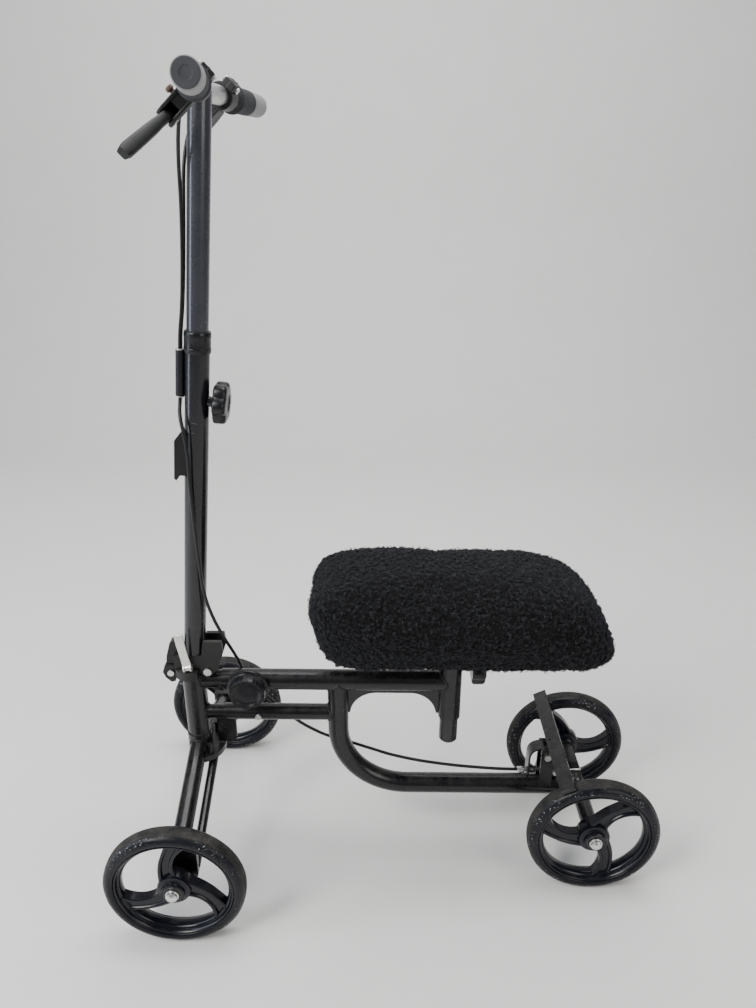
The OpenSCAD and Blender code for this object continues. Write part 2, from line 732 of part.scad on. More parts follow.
// Cable across the folding and steering joints, down to the far side of the beam
cable_neck_points = [
  [-261.5, -13.3, 412.1], [-257, -11, 398], [-253, -7.5, 384], [-249, -2.5, 370], [-245, 3.5, 355],
  [-241.5, 10, 340], [-238.5, 15.5, 327], [-236.7, 18.7, 317]
];
module cable_neck() color("#1a1a1d") sweep(cable_neck_points, cable_d, 3);

module column_knob() color("#202024") at_column() translate([0, 0, column_knob_s]) {
  rod_x(8, post_od / 2 + gap, 25);
  translate([23 + gap, 0, 0]) rotate([0, 90, 0]) star_knob(knob_d, 18);
}

// The cable joiner's middle, in the column's own place
module at_joiner() translate([-column_d / 2 - joiner_d / 2, 0, joiner_s]) children();

// ---------- handle ----------

module bar_halves(d, l) both_sides() rotate(bar_sweep) rod_y(d, -l, 0);

module handle_post() color("#b9b9be") at_column() difference() {
  rod_z(post_od, post_start, bar_reach);
  rod_z(post_od - 3.6, post_start - 1, bar_reach + 1);
  translate([0, 0, bar_reach]) bar_halves(bar_d, 60);
}

module handlebar() color("#b9b9be") at_bar() difference() {
  bar_halves(bar_d, bar_half);
  bar_halves(bar_d - 4, bar_half + 1);
}

module grips() color("#3c3d40") for (s = [1, -1]) bar_side(s) difference() {
  union() {
    rod_y(grip_d, -bar_half - 5, -grip_start);
    rod_y(grip_d + 5, -grip_start - 4, -grip_start);
  }
  rod_y(bar_d, -bar_half, -grip_start + 1);
}

// Clamps that carry the brake levers
module lever_perches() color("#1e1e21") for (s = [1, -1]) lever_side(s) difference() {
  union() {
    rod_y(bar_d + 10, -perch_y - 10, -perch_y + 12);
    block([-48, -8], [-perch_y - 12, -perch_y + 14], [-10, 10]);
    translate([-26, 0, 0]) rod_y(9, -perch_y + 14, -perch_y + 24);
  }
  rod_y(bar_d, -perch_y - 20, -perch_y + 20);
  block([-60, -30], [-perch_y - 20, -perch_y + 10], [-6, 6]);
  translate([-40, -perch_y + 2, 0]) rod_z(5, -20, 20);
  translate([-22, -perch_y, 0]) rod_z(6, 2, 20);
}

// Lever blade, with its pivot pin, in the plane through the bar
module brake_lever(sign) color("#2b2b2f") lever_side(sign) {
  translate([-40, -perch_y + 2, 0]) {
    rod_z(15, -5.7, 5.7);
    rod_z(5 - 2 * play, -10, 10);
  }
  hull() {
    translate([-40, -perch_y + 2, -5.7]) cylinder(d = 9, h = 11.4, $fn = 32);
    translate([-53, -perch_y - 20, -5.7]) cylinder(d = 7, h = 11.4, $fn = 32);
  }
  hull() {
    translate([-53, -perch_y - 20, -5.7]) cylinder(d = 7, h = 11.4, $fn = 32);
    translate([-95, -perch_y - 86, -5.2]) cylinder(d = 5, h = 10.4, $fn = 32);
  }
}

module brake_lever_left() brake_lever(1);
module brake_lever_right() brake_lever(-1);

module park_button(sign) color("#6b4a3a") lever_side(sign) translate([-22, -perch_y, 0]) {
  rod_z(6 - 2 * play, 6, 14);
  rod_z(9, 13.5, 18);
}

module park_button_left() park_button(1);
module park_button_right() park_button(-1);

// Two-to-one cable joiner that lies against the front of the column
module cable_joiner() color("#1e1e21") at_column() at_joiner()
  rod_z(joiner_d, -joiner_len / 2, joiner_len / 2);

// Cables from the two brake levers to the joiner, in the bar's own place
module lever_cables() color("#1a1a1d") both_sides() at_bar()
  sweep([[-8.3, -56, -19.6], [-10.4, -46.5, -20.8], [-13.5, -37, -27], [-17, -28, -40],
    [-19.5, -19.5, -59], [-20.5, -12, -84], [-19.5, -7, -120], [-18.7, -4.5, -165],
    [-18.7, -3.4, -210], [-19.6, -3, -245], [-21.6, -3, -275], [-21.9, -3, bar_low()]], 4.5, 3);

function bar_low() = joiner_s + joiner_len / 2 + gap - bar_reach;

head_tube();
headset_bushes();
upper_beam();
lower_rail();
down_tube();
gusset_plate();
seat_socket();
rear_axle_tube();
rear_axle_bolts();
brake_bracket();
stop_plate();
frame_bolts();
cable_adjuster();
cable_frame();
frame_knob();
seat_knob();
seat_post();
seat_bracket();
seat_board();
knee_cushion();
brake_arm();
cable_clamp();
brake_spring();
steerer_tube();
front_axle();
axle_braces();
fold_base();
hinge_pin();
latch_skewer();
front_axle_bolts();
latch_lever();
column_tube();
column_collar();
fold_head();
basket_bracket();
cable_column();
cable_neck();
column_knob();
handle_post();
handlebar();
grips();
lever_perches();
cable_joiner();
lever_cables();
brake_lever_left();
brake_lever_right();
park_button_left();
park_button_right();
front_left_tyre();
front_left_rim();
front_left_bearings();
front_right_tyre();
front_right_rim();
front_right_bearings();
rear_left_tyre();
rear_left_rim();
rear_left_bearings();
rear_right_tyre();
rear_right_rim();
rear_right_bearings();
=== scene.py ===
import math
import random

import bpy
import numpy as np
from mathutils import Matrix, Vector, noise


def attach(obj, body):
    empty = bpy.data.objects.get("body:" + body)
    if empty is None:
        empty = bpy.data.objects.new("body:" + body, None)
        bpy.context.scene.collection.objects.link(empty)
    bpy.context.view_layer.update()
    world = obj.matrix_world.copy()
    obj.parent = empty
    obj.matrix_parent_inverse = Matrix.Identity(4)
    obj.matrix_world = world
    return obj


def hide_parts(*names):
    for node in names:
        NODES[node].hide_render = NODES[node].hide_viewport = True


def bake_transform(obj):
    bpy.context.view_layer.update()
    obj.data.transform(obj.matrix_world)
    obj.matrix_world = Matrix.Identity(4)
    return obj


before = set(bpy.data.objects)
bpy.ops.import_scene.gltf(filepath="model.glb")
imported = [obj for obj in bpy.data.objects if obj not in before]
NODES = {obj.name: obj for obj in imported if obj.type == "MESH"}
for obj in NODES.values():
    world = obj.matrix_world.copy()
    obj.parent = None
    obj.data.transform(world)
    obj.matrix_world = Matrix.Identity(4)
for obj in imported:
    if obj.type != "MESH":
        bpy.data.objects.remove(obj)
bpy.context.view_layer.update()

random.seed(7)
rng = np.random.default_rng(7)
scene = bpy.context.scene

# ---- Places

def mm(*values):
    return Vector([v / 1000 for v in values])


def shift(*values):
    """A move in millimetres."""
    return Matrix.Translation(mm(*values))


def turned(axis, degrees):
    return Matrix.Rotation(math.radians(degrees), 4, axis)


# The CAD part's own sizes, in metres and degrees: BAR_UP runs along the leaning column
AXLE_X, FRONT_Y, REAR_Y = 0.305, 0.201, 0.104
WHEEL_R = 0.1
COLUMN_Z, COLUMN_LEAN = 0.297, 5.4
BAR_UP, BAR_SWEEP = 0.812, 9
LEVER_TURN = -49
COLUMN = Matrix.Translation((-AXLE_X, 0, 0)) @ Matrix.Translation((0, 0, COLUMN_Z)) @ turned("Y", COLUMN_LEAN)
BAR = COLUMN @ Matrix.Translation((0, 0, BAR_UP))
# Every mirrored piece is made on the left, which is -Y
SIDES = (("left", Matrix.Identity(4)), ("right", Matrix.Scale(-1, 4, (0, 1, 0))))


def bar_side(mirror):
    return BAR @ mirror @ turned("Z", BAR_SWEEP)


def lever_side(mirror):
    return bar_side(mirror) @ turned("Y", LEVER_TURN)


def wheel_place(x, y):
    """The wheel's own place: local Z runs along its axle, outwards."""
    return Matrix.Translation((x, y, WHEEL_R)) @ turned("Z", 0 if y < 0 else 180) @ turned("X", 90)


# ---- Camera and light

CAMERA_ANGLES = (23.48, 0.19, 0.36)
CAMERA_AT = (-0.0210, -0.9909, 1.0281)
SENSOR = 36
FOCAL_PIXELS = 779
PICTURE_PIXELS = 1008


def camera():
    """The camera solved from the photo: pitch, yaw and roll, then its place."""
    pitch, yaw, roll = (math.radians(a) for a in CAMERA_ANGLES)
    forward = Vector((-math.sin(yaw) * math.cos(pitch), math.cos(yaw) * math.cos(pitch), -math.sin(pitch)))
    right = Vector((math.cos(yaw), math.sin(yaw), 0))
    up = right.cross(forward)
    right2 = right * math.cos(roll) + up * math.sin(roll)
    up2 = up * math.cos(roll) - right * math.sin(roll)
    rows = [(right2[i], up2[i], -forward[i], CAMERA_AT[i]) for i in range(3)]
    data = bpy.data.cameras.new("camera")
    data.sensor_width = SENSOR
    data.lens = FOCAL_PIXELS / PICTURE_PIXELS * SENSOR
    data.clip_start = 0.05
    obj = bpy.data.objects.new("camera", data)
    scene.collection.objects.link(obj)
    obj.matrix_world = Matrix(rows + [(0, 0, 0, 1)])
    scene.camera = obj


def area_light(name, position, target, size, power, color):
    data = bpy.data.lights.new(name, "AREA")
    data.shape = "RECTANGLE"
    data.size, data.size_y = size
    data.energy = power
    data.color = color
    obj = bpy.data.objects.new(name, data)
    scene.collection.objects.link(obj)
    direction = Vector(target) - Vector(position)
    obj.rotation_mode = "QUATERNION"
    obj.rotation_quaternion = direction.to_track_quat("-Z", "Y")
    obj.location = position
    obj.visible_camera = False


def lights():
    world = bpy.data.worlds.new("world")
    scene.world = world
    world.use_nodes = True
    background = world.node_tree.nodes["Background"]
    background.inputs["Color"].default_value = (0.80, 0.87, 1.0, 1)
    background.inputs["Strength"].default_value = 0.26
    # Place, target, size, power and colour
    area_light("key", (-1.7, -1.5, 2.3), (-0.05, 0, 0.45), (0.9, 1.5), 75, (1.0, 0.98, 0.95))
    area_light("strip", (-1.9, -0.5, 1.0), (-0.2, 0, 0.6), (0.35, 1.8), 18, (0.80, 0.88, 1.0))
    area_light("fill", (1.9, -1.7, 1.5), (0.1, 0, 0.4), (1.4, 1.4), 24, (1.0, 0.96, 0.90))
    area_light("top", (0.2, 0.5, 2.7), (0, 0.1, 0.3), (2.2, 1.8), 38, (1.0, 1.0, 1.0))
    area_light("wall", (0.0, 0.2, 3.2), (0, 2.6, 0.9), (3.0, 0.8), 60, (1.0, 1.0, 1.0))


# ---- Materials

class Shader:
    """A node material under construction; every texture reads object coordinates."""

    def __init__(self, name):
        self.mat = bpy.data.materials.new(name)
        self.mat.use_nodes = True
        self.tree = self.mat.node_tree
        self.bsdf = self.tree.nodes["Principled BSDF"]
        self.coord = self.node("ShaderNodeTexCoord").outputs["Object"]

    def node(self, kind, **props):
        n = self.tree.nodes.new(kind)
        for key, value in props.items():
            setattr(n, key, value)
        return n

    def link(self, a, b):
        self.tree.links.new(a, b)

    def set(self, **values):
        for key, value in values.items():
            self.bsdf.inputs[key.replace("_", " ")].default_value = value

    def texture(self, kind, output, vector=None, **inputs):
        n = self.node(kind)
        for key, value in inputs.items():
            n.inputs[key].default_value = value
        self.link(vector or self.coord, n.inputs["Vector"])
        return n.outputs[output]

    def scaled(self, scale, turn=(0, 0, 0)):
        return self.texture("ShaderNodeMapping", "Vector", Scale=scale, Rotation=[math.radians(a) for a in turn])

    def noise(self, scale, detail=4.0, rough=0.55, vector=None):
        return self.texture("ShaderNodeTexNoise", "Fac", vector, Scale=scale, Detail=detail, Roughness=rough)

    def cells(self, scale):
        return self.texture("ShaderNodeTexVoronoi", "Distance", Scale=scale)

    def between(self, value, low, high, out_low=0.0, out_high=1.0):
        n = self.node("ShaderNodeMapRange", clamp=True)
        self.link(value, n.inputs["Value"])
        for key, v in (("From Min", low), ("From Max", high), ("To Min", out_low), ("To Max", out_high)):
            n.inputs[key].default_value = v
        return n.outputs["Result"]

    def math(self, op, a, b):
        n = self.node("ShaderNodeMath", operation=op)
        for i, v in enumerate((a, b)):
            if isinstance(v, (int, float)):
                n.inputs[i].default_value = v
            else:
                self.link(v, n.inputs[i])
        return n.outputs["Value"]

    def mul(self, a, b):
        return self.math("MULTIPLY", a, b)

    def plus(self, a, b):
        return self.math("ADD", a, b)

    def mix(self, factor, a, b):
        n = self.node("ShaderNodeMix", data_type="RGBA")
        self.link(factor, n.inputs["Factor"])
        for key, v in (("A", a), ("B", b)):
            socket = [s for s in n.inputs if s.name == key and s.type == "RGBA"][0]
            if isinstance(v, tuple):
                socket.default_value = (*v, 1)
            else:
                self.link(v, socket)
        return [s for s in n.outputs if s.type == "RGBA"][0]

    def upward(self, low, high):
        """1 on surfaces that face up, where dust settles."""
        normal = self.node("ShaderNodeNewGeometry").outputs["Normal"]
        parts = self.node("ShaderNodeSeparateXYZ")
        self.link(normal, parts.inputs[0])
        return self.between(parts.outputs["Z"], low, high)

    def bump(self, height, distance, strength, edge=0.0):
        n = self.node("ShaderNodeBump")
        n.inputs["Distance"].default_value = distance
        n.inputs["Strength"].default_value = strength
        self.link(height, n.inputs["Height"])
        if edge:
            b = self.node("ShaderNodeBevel", samples=4)
            b.inputs["Radius"].default_value = edge
            self.link(b.outputs["Normal"], n.inputs["Normal"])
        self.link(n.outputs["Normal"], self.bsdf.inputs["Normal"])

    def color(self, socket):
        self.link(socket, self.bsdf.inputs["Base Color"])

    def rough(self, socket):
        self.link(socket, self.bsdf.inputs["Roughness"])


# Radii in metres that round a material's edges in its shading
PAINT_EDGE = 0.0007
PLASTIC_EDGE = 0.0006
METAL_EDGE = 0.0005


def settled_dust(s, low, scale, cut, amount):
    """Dust in patches on what faces up."""
    return s.mul(s.upward(low, 1.0), s.between(s.noise(scale, 8, 0.7), cut, 0.75, 0, amount))


def scratches(s, scale, cut):
    """Thin lines in two directions, 0 or 1."""
    lines = []
    for stretch, turn in (((1, 14, 14), (12, 30, 24)), ((16, 1.2, 9), (40, -15, 60))):
        lines.append(s.between(s.noise(scale, 2.0, 0.5, s.scaled(stretch, turn)), cut, cut + 0.03))
    patches = s.between(s.noise(14, 3), 0.50, 0.62)
    return s.mul(s.math("MAXIMUM", *lines), patches)


def paint(name, dark, light, rough, coat, dust=0.16, gloss=0.36):
    """Sprayed enamel with orange peel, dust on top and fine scratches."""
    s = Shader(name)
    cloud = s.noise(22, 6)
    base = s.mix(cloud, dark, light)
    settled = settled_dust(s, 0.35, 60, 0.42, dust)
    base = s.mix(settled, base, (0.20, 0.185, 0.165))
    marks = scratches(s, 60, 0.70)
    base = s.mix(s.mul(marks, 0.35), base, (0.20, 0.20, 0.21))
    chips = s.between(s.noise(170, 3, 0.6), 0.755, 0.77)
    base = s.mix(s.mul(chips, 0.5), base, (0.18, 0.18, 0.18))
    s.color(base)
    r = s.between(s.noise(35, 5), 0.3, 0.7, rough, rough + 0.14)
    r = s.plus(r, s.mul(settled, 0.9))
    s.rough(s.plus(r, s.mul(marks, 0.25)))
    peel = s.plus(s.mul(s.noise(520, 2), 0.6), s.mul(marks, -0.8))
    s.bump(peel, 0.00006, 0.4, PAINT_EDGE)
    s.set(Coat_Weight=coat, Coat_Roughness=0.12, Specular_IOR_Level=gloss)
    return s.mat


def plastic(name, dark, light, rough, grain=1400, depth=0.00010, dust=0.25):
    """Moulded plastic with a fine grain and scuffs."""
    s = Shader(name)
    base = s.mix(s.noise(30, 5), dark, light)
    settled = settled_dust(s, 0.2, 80, 0.45, dust)
    base = s.mix(settled, base, (0.19, 0.18, 0.165))
    marks = scratches(s, 90, 0.67)
    base = s.mix(s.mul(marks, 0.3), base, (0.16, 0.16, 0.17))
    s.color(base)
    r = s.between(s.noise(50, 5), 0.3, 0.7, rough, rough + 0.15)
    s.rough(s.plus(r, s.mul(settled, 0.7)))
    fine = s.plus(s.noise(grain, 2), s.mul(marks, -0.7))
    s.bump(fine, depth, 0.7, PLASTIC_EDGE)
    s.set(Specular_IOR_Level=0.3)
    return s.mat


def metal(name, dark, light, rough, stain=0.3):
    """Bright metal with drawn lines, stains and small pits."""
    s = Shader(name)
    lines = s.noise(120, 3, 0.5, s.scaled((1, 1, 40)))
    base = s.mix(lines, dark, light)
    spots = s.between(s.noise(210, 6, 0.7), 0.55, 0.72, 0, stain)
    base = s.mix(spots, base, (0.16, 0.13, 0.10))
    s.color(base)
    r = s.between(lines, 0.3, 0.7, rough, rough + 0.16)
    s.rough(s.plus(r, s.mul(spots, 0.5)))
    s.bump(lines, 0.00008, 0.6, METAL_EDGE)
    s.set(Metallic=1.0)
    return s.mat


def rubber(name, dark, light, dust_color, dust, rough, worn=0.70, lines=False):
    """Tyre or grip rubber: dusty, with rubbed patches, and lines round the tread where it rolls."""
    s = Shader(name)
    base = s.mix(s.noise(40, 6), dark, light)
    dirt = s.between(s.noise(46, 9, 0.72), 0.40, 0.72, 0, dust)
    if lines:
        track = s.noise(1.0, 5, 0.6, s.scaled((3, 620, 3)))
        dirt = s.mul(dirt, s.between(track, 0.34, 0.62, 0.25, 1.0))
    base = s.mix(dirt, base, dust_color)
    flecks = s.between(s.noise(330, 5, 0.7), worn, worn + 0.05)
    flecks = s.mul(flecks, s.between(s.noise(25, 3), 0.44, 0.56))
    base = s.mix(s.mul(flecks, 0.85), base, (0.50, 0.51, 0.52))
    s.color(base)
    s.rough(s.plus(s.between(s.noise(90, 5), 0.3, 0.7, rough, rough + 0.18), s.mul(dirt, 0.35)))
    height = s.plus(s.noise(900, 4), s.mul(flecks, -1.2))
    s.bump(height, 0.00018, 0.8)
    s.set(Specular_IOR_Level=0.20)
    return s.mat


def fleece(name, dark, light):
    """Curled pile: nearly black, painted greyer and soft where the fibres catch light, with painted shade in the
    gaps between locks and small painted glints.
    """
    s = Shader(name)
    curl = s.noise(650, 6, 0.75)
    lock = s.cells(150)
    base = s.mix(s.between(curl, 0.42, 0.72), dark, light)
    # Painted shade: darker towards the cells' edges, in the gaps between the locks.
    base = s.mix(s.between(lock, 0.1, 0.75, 0.0, 0.7), base, (0.0010, 0.0010, 0.0012))
    # Painted highlights: small grey glints scattered on the pile.
    glints = s.between(s.noise(380, 2, 0.5), 0.775, 0.79)
    base = s.mix(s.mul(glints, 0.35), base, (0.30, 0.29, 0.27))
    s.color(base)
    s.rough(s.between(s.noise(240, 3), 0.3, 0.7, 0.82, 1.0))
    s.bump(s.plus(curl, s.mul(lock, -0.7)), 0.0012, 0.9)
    s.set(Sheen_Weight=0.12, Sheen_Roughness=0.4, Sheen_Tint=(0.72, 0.76, 0.88, 1), Specular_IOR_Level=0.18)
    return s.mat


def plywood():
    """Dark stained plywood with its grain."""
    s = Shader("board_wood")
    rings = s.noise(9, 8, 0.6, s.scaled((1, 9, 22)))
    base = s.mix(rings, (0.012, 0.010, 0.009), (0.034, 0.027, 0.021))
    s.color(s.mix(s.between(s.noise(70, 6), 0.5, 0.7, 0, 0.5), base, (0.010, 0.008, 0.007)))
    s.rough(s.between(rings, 0.3, 0.7, 0.55, 0.8))
    s.bump(rings, 0.0003, 0.6)
    return s.mat


def floor_material():
    s = Shader("stage_floor")
    s.color(s.mix(s.noise(5, 8, 0.6), (0.70, 0.69, 0.67), (0.76, 0.75, 0.735)))
    s.rough(s.between(s.noise(30, 5), 0.3, 0.7, 0.7, 0.85))
    s.bump(s.noise(260, 5), 0.0004, 0.3)
    return s.mat


# ---- Mesh helpers

def moved(mesh, place):
    verts, faces = mesh
    if place.determinant() < 0:
        faces = [tuple(reversed(f)) for f in faces]
    return [place @ Vector(v) for v in verts], faces


def add(name, mesh, material, body, place=None, replaces=None, smooth=True, angle=32):
    """A mesh piece in the scooter's frame, riding on a body."""
    verts, faces = moved(mesh, place or Matrix.Identity(4))
    data = bpy.data.meshes.new(name)
    data.from_pydata(verts, [], faces)
    data.update()
    for entry in (material if isinstance(material, list) else [material]):
        data.materials.append(entry)
    obj = bpy.data.objects.new(name, data)
    scene.collection.objects.link(obj)
    for p in data.polygons:
        p.use_smooth = smooth
    if smooth:
        data.set_sharp_from_angle(angle=math.radians(angle))
    if body:
        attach(obj, body)
    if replaces:
        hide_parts(replaces)
    return obj


def rounded(obj, width, segments=2):
    m = obj.modifiers.new("edges", "BEVEL")
    m.width = width
    m.segments = segments
    m.limit_method = "ANGLE"
    m.angle_limit = math.radians(40)


def angles(steps):
    return [2 * math.pi * k / steps for k in range(steps)]


def lathe(profile, steps=64):
    """Rings about Z from a closed profile of (radius, z) in mm, listed anticlockwise in the r-z plane."""
    verts, faces = [], []
    rings = []
    for r, z in profile:
        if r < 1e-6:
            rings.append([len(verts)] * steps)
            verts.append(mm(0, 0, z))
        else:
            rings.append(list(range(len(verts), len(verts) + steps)))
            verts += [mm(r * math.cos(a), r * math.sin(a), z) for a in angles(steps)]
    for a, b in zip(rings, rings[1:] + rings[:1]):
        if a[0] == a[1] and b[0] == b[1]:
            continue
        for k in range(steps):
            j = (k + 1) % steps
            quad = [a[k], a[j], b[j], b[k]]
            face = [q for i, q in enumerate(quad) if q != quad[i - 1]]
            if len(face) > 2:
                faces.append(tuple(face))
    return verts, faces


def frames(points):
    """Each point of a path with two normals, without twist."""
    p = [Vector(q) for q in points]
    t = [(p[min(i + 1, len(p) - 1)] - p[max(i - 1, 0)]).normalized() for i in range(len(p))]
    start = Vector((0, 1, 0)) if abs(t[0].y) < 0.9 else Vector((1, 0, 0))
    n = (start - t[0] * start.dot(t[0])).normalized()
    result = []
    for i in range(len(p)):
        n = (n - t[i] * n.dot(t[i])).normalized()
        result.append((p[i], n, t[i].cross(n)))
    return result


def tube(points, radius, sides, closed=False):
    """A tube of radius in metres, a number or one per point, along a path."""
    verts, faces = [], []
    rings = frames(points)
    count = len(rings)
    for i, (p, n, b) in enumerate(rings):
        r = radius[i] if isinstance(radius, (list, tuple)) else radius
        verts += [p + r * (math.cos(a) * n + math.sin(a) * b) for a in angles(sides)]
    for i in range(count if closed else count - 1):
        j = (i + 1) % count
        for k in range(sides):
            m = (k + 1) % sides
            faces.append((i * sides + k, i * sides + m, j * sides + m, j * sides + k))
    if not closed:
        faces.append(tuple(reversed(range(sides))))
        faces.append(tuple(range((count - 1) * sides, count * sides)))
    return verts, faces


def smooth_path(points, steps):
    """A curve through the points: the same one that the CAD cables follow."""
    p = [Vector(q) for q in points]
    out = []
    for i in range(len(p) - 1):
        p0 = p[i - 1] if i else 2 * p[0] - p[1]
        p3 = p[i + 2] if i + 2 < len(p) else 2 * p[-1] - p[-2]
        p1, p2 = p[i], p[i + 1]
        for k in range(steps):
            u = k / steps
            out.append(0.5 * (2 * p1 + (p2 - p0) * u + (2 * p0 - 5 * p1 + 4 * p2 - p3) * u * u
                              + (3 * p1 - p0 - 3 * p2 + p3) * u * u * u))
    out.append(p[-1])
    return out


def prism(outline, z0, z1):
    """Outline of (x, y) in mm, anticlockwise, from z0 to z1."""
    n = len(outline)
    verts = [mm(x, y, z0) for x, y in outline] + [mm(x, y, z1) for x, y in outline]
    faces = [tuple(reversed(range(n))), tuple(range(n, 2 * n))]
    faces += [(i, (i + 1) % n, (i + 1) % n + n, i + n) for i in range(n)]
    return verts, faces


def box_mesh(x0, x1, y0, y1, z0, z1):
    return prism([(x0, y0), (x1, y0), (x1, y1), (x0, y1)], z0, z1)


def loft(rings):
    """A closed body through rings of equal length; each ring is a list of points."""
    n = len(rings[0])
    verts = [v for ring in rings for v in ring]
    faces = []
    for i in range(len(rings) - 1):
        for k in range(n):
            j = (k + 1) % n
            faces.append((i * n + k, i * n + j, (i + 1) * n + j, (i + 1) * n + k))
    faces.append(tuple(reversed(range(n))))
    faces.append(tuple(range((len(rings) - 1) * n, len(rings) * n)))
    return verts, faces


def join(*meshes):
    verts, faces = [], []
    for v, f in meshes:
        k = len(verts)
        verts += list(v)
        faces += [tuple(i + k for i in face) for face in f]
    return verts, faces


def knurled(mesh, count, depth, low, high=1.0, sharp=1, z=(-1.0, 1.0)):
    """A lathed mesh with count flutes, cut where its radius lies between low and high and its height within z."""
    verts, faces = mesh
    out = []
    for v in verts:
        r, a = math.hypot(v.x, v.y), math.atan2(v.y, v.x)
        if low < r < high and z[0] < v.z < z[1]:
            k = 1 - depth * (0.5 + 0.5 * math.cos(count * a)) ** sharp
            v = Vector((v.x * k, v.y * k, v.z))
        out.append(v)
    return out, faces


def hex_outline(across):
    r = across / math.sqrt(3)
    return [(r * math.cos(math.radians(60 * k)), r * math.sin(math.radians(60 * k))) for k in range(6)]


# ---- Set

camera()
lights()
PAINT = paint("frame_paint", (0.0024, 0.0024, 0.0030), (0.0046, 0.0046, 0.0055), 0.20, coat=0.12)
COLUMN_PAINT = paint("column_paint", (0.0060, 0.0062, 0.0080), (0.0095, 0.0098, 0.0125), 0.17, dust=0.1, coat=0.2)
# The handle post's paint is a lighter, bluer copy of the column paint: painted reflection of the bright wall and
# painted haze on the upper tube.
POST_PAINT_LIT = paint("post_paint_painted_reflection", (0.022, 0.0232, 0.029), (0.031, 0.0328, 0.041), 0.19, dust=0.1, coat=0.35,
                   gloss=0.5)
CAST = paint("cast_black", (0.0060, 0.0060, 0.0060), (0.012, 0.012, 0.0115), 0.38, dust=0.35, coat=0.0)
LEVER = paint("lever_paint", (0.0055, 0.0055, 0.006), (0.010, 0.010, 0.0105), 0.38, dust=0.3, coat=0.0)
KNOB = plastic("knob_plastic", (0.0045, 0.0045, 0.0058), (0.0080, 0.0080, 0.0100), 0.20, dust=0.1)
BRACKET = plastic("bracket_plastic", (0.005, 0.005, 0.006), (0.009, 0.009, 0.010), 0.33)
BUSH = plastic("bush_plastic", (0.03, 0.03, 0.032), (0.045, 0.045, 0.047), 0.4)
BUTTON = plastic("button_plastic", (0.070, 0.038, 0.028), (0.115, 0.066, 0.050), 0.38)
JACKET = plastic("cable_jacket", (0.0065, 0.0065, 0.007), (0.011, 0.011, 0.012), 0.28, grain=900, dust=0.1)
RIM = plastic("rim_plastic", (0.0016, 0.0018, 0.0042), (0.0036, 0.0041, 0.0090), 0.14, depth=0.00005, dust=0.06)
STEEL = metal("bright_steel", (0.55, 0.55, 0.54), (0.78, 0.78, 0.76), 0.20)
LATCH = metal("lever_alloy", (0.72, 0.71, 0.66), (0.86, 0.85, 0.80), 0.36, stain=0.2)
SPRING = metal("spring_steel", (0.10, 0.10, 0.105), (0.19, 0.19, 0.195), 0.32)
ALLOY = metal("bar_alloy", (0.50, 0.50, 0.50), (0.66, 0.66, 0.65), 0.30, stain=0.25)
GRIP_DARK = rubber("grip_rubber", (0.034, 0.035, 0.039), (0.050, 0.052, 0.058), (0.10, 0.10, 0.10), 0.3, 0.6)
GRIP_LIGHT = rubber("grip_light", (0.22, 0.22, 0.228), (0.30, 0.30, 0.308), (0.34, 0.335, 0.33), 0.5, 0.6)
GRIP_END = rubber("grip_end", (0.046, 0.048, 0.054), (0.062, 0.065, 0.073), (0.10, 0.10, 0.10), 0.3, 0.5)
TREAD = rubber("tyre_tread", (0.007, 0.007, 0.0075), (0.016, 0.0155, 0.015), (0.085, 0.079, 0.070), 0.85, 0.5,
               0.66, True)
WALL = rubber("tyre_rubber", (0.0022, 0.0024, 0.0042), (0.0045, 0.0050, 0.0085), (0.018, 0.018, 0.018), 0.25, 0.14)
SHOULDER = rubber("tyre_shoulder", (0.0030, 0.0032, 0.0055), (0.0070, 0.0075, 0.0120), (0.028, 0.027, 0.026), 0.35,
                  0.19, 0.60)
FLEECE = fleece("cover_fleece", (0.0016, 0.0016, 0.0018), (0.018, 0.018, 0.0195))
# A lighter copy of the pile's fleece for the loose curls: painted highlight where they stand out into the light.
LIT_CURL_FLEECE = fleece("cover_curls_lit", (0.014, 0.014, 0.0155), (0.110, 0.112, 0.120))
WOOD = plywood()
FLOOR = floor_material()

ENDS = ("front_left", "front_right", "rear_left", "rear_right")
# Every other node is painted as the frame
MATERIAL_NODES = (
    (BUSH, ["headset_bushes"]), (COLUMN_PAINT, ["seat_post", "column_tube"]), (POST_PAINT_LIT, ["handle_post"]),
    (ALLOY, ["handlebar"]), (CAST, ["fold_base", "fold_head"]), (BRACKET, ["basket_bracket", "cable_joiner"]),
    (WOOD, ["seat_board"]), (LATCH, ["latch_lever"]), (FLEECE, ["knee_cushion"]), (GRIP_DARK, ["grips"]),
    (KNOB, ["frame_knob", "seat_knob", "column_knob", "column_collar"]),
    (LEVER, ["lever_perches", "brake_lever_left", "brake_lever_right"]),
    (BUTTON, ["park_button_left", "park_button_right"]),
    (STEEL, ["rear_axle_bolts", "frame_bolts", "cable_adjuster", "cable_clamp", "hinge_pin", "latch_skewer",
             "front_axle_bolts"]),
    (JACKET, ["cable_frame", "cable_column", "cable_neck", "lever_cables"]),
    (SPRING, ["brake_spring"] + [end + "_bearings" for end in ENDS]),
    (WALL, [end + "_tyre" for end in ENDS]), (RIM, [end + "_rim" for end in ENDS]),
)
NODE_MATERIAL = {name: material for material, names in MATERIAL_NODES for name in names}
for name, obj in NODES.items():
    material = NODE_MATERIAL.get(name, PAINT)
    for i in range(max(1, len(obj.material_slots))):
        if i < len(obj.material_slots):
            obj.material_slots[i].material = material
        else:
            obj.data.materials.append(material)


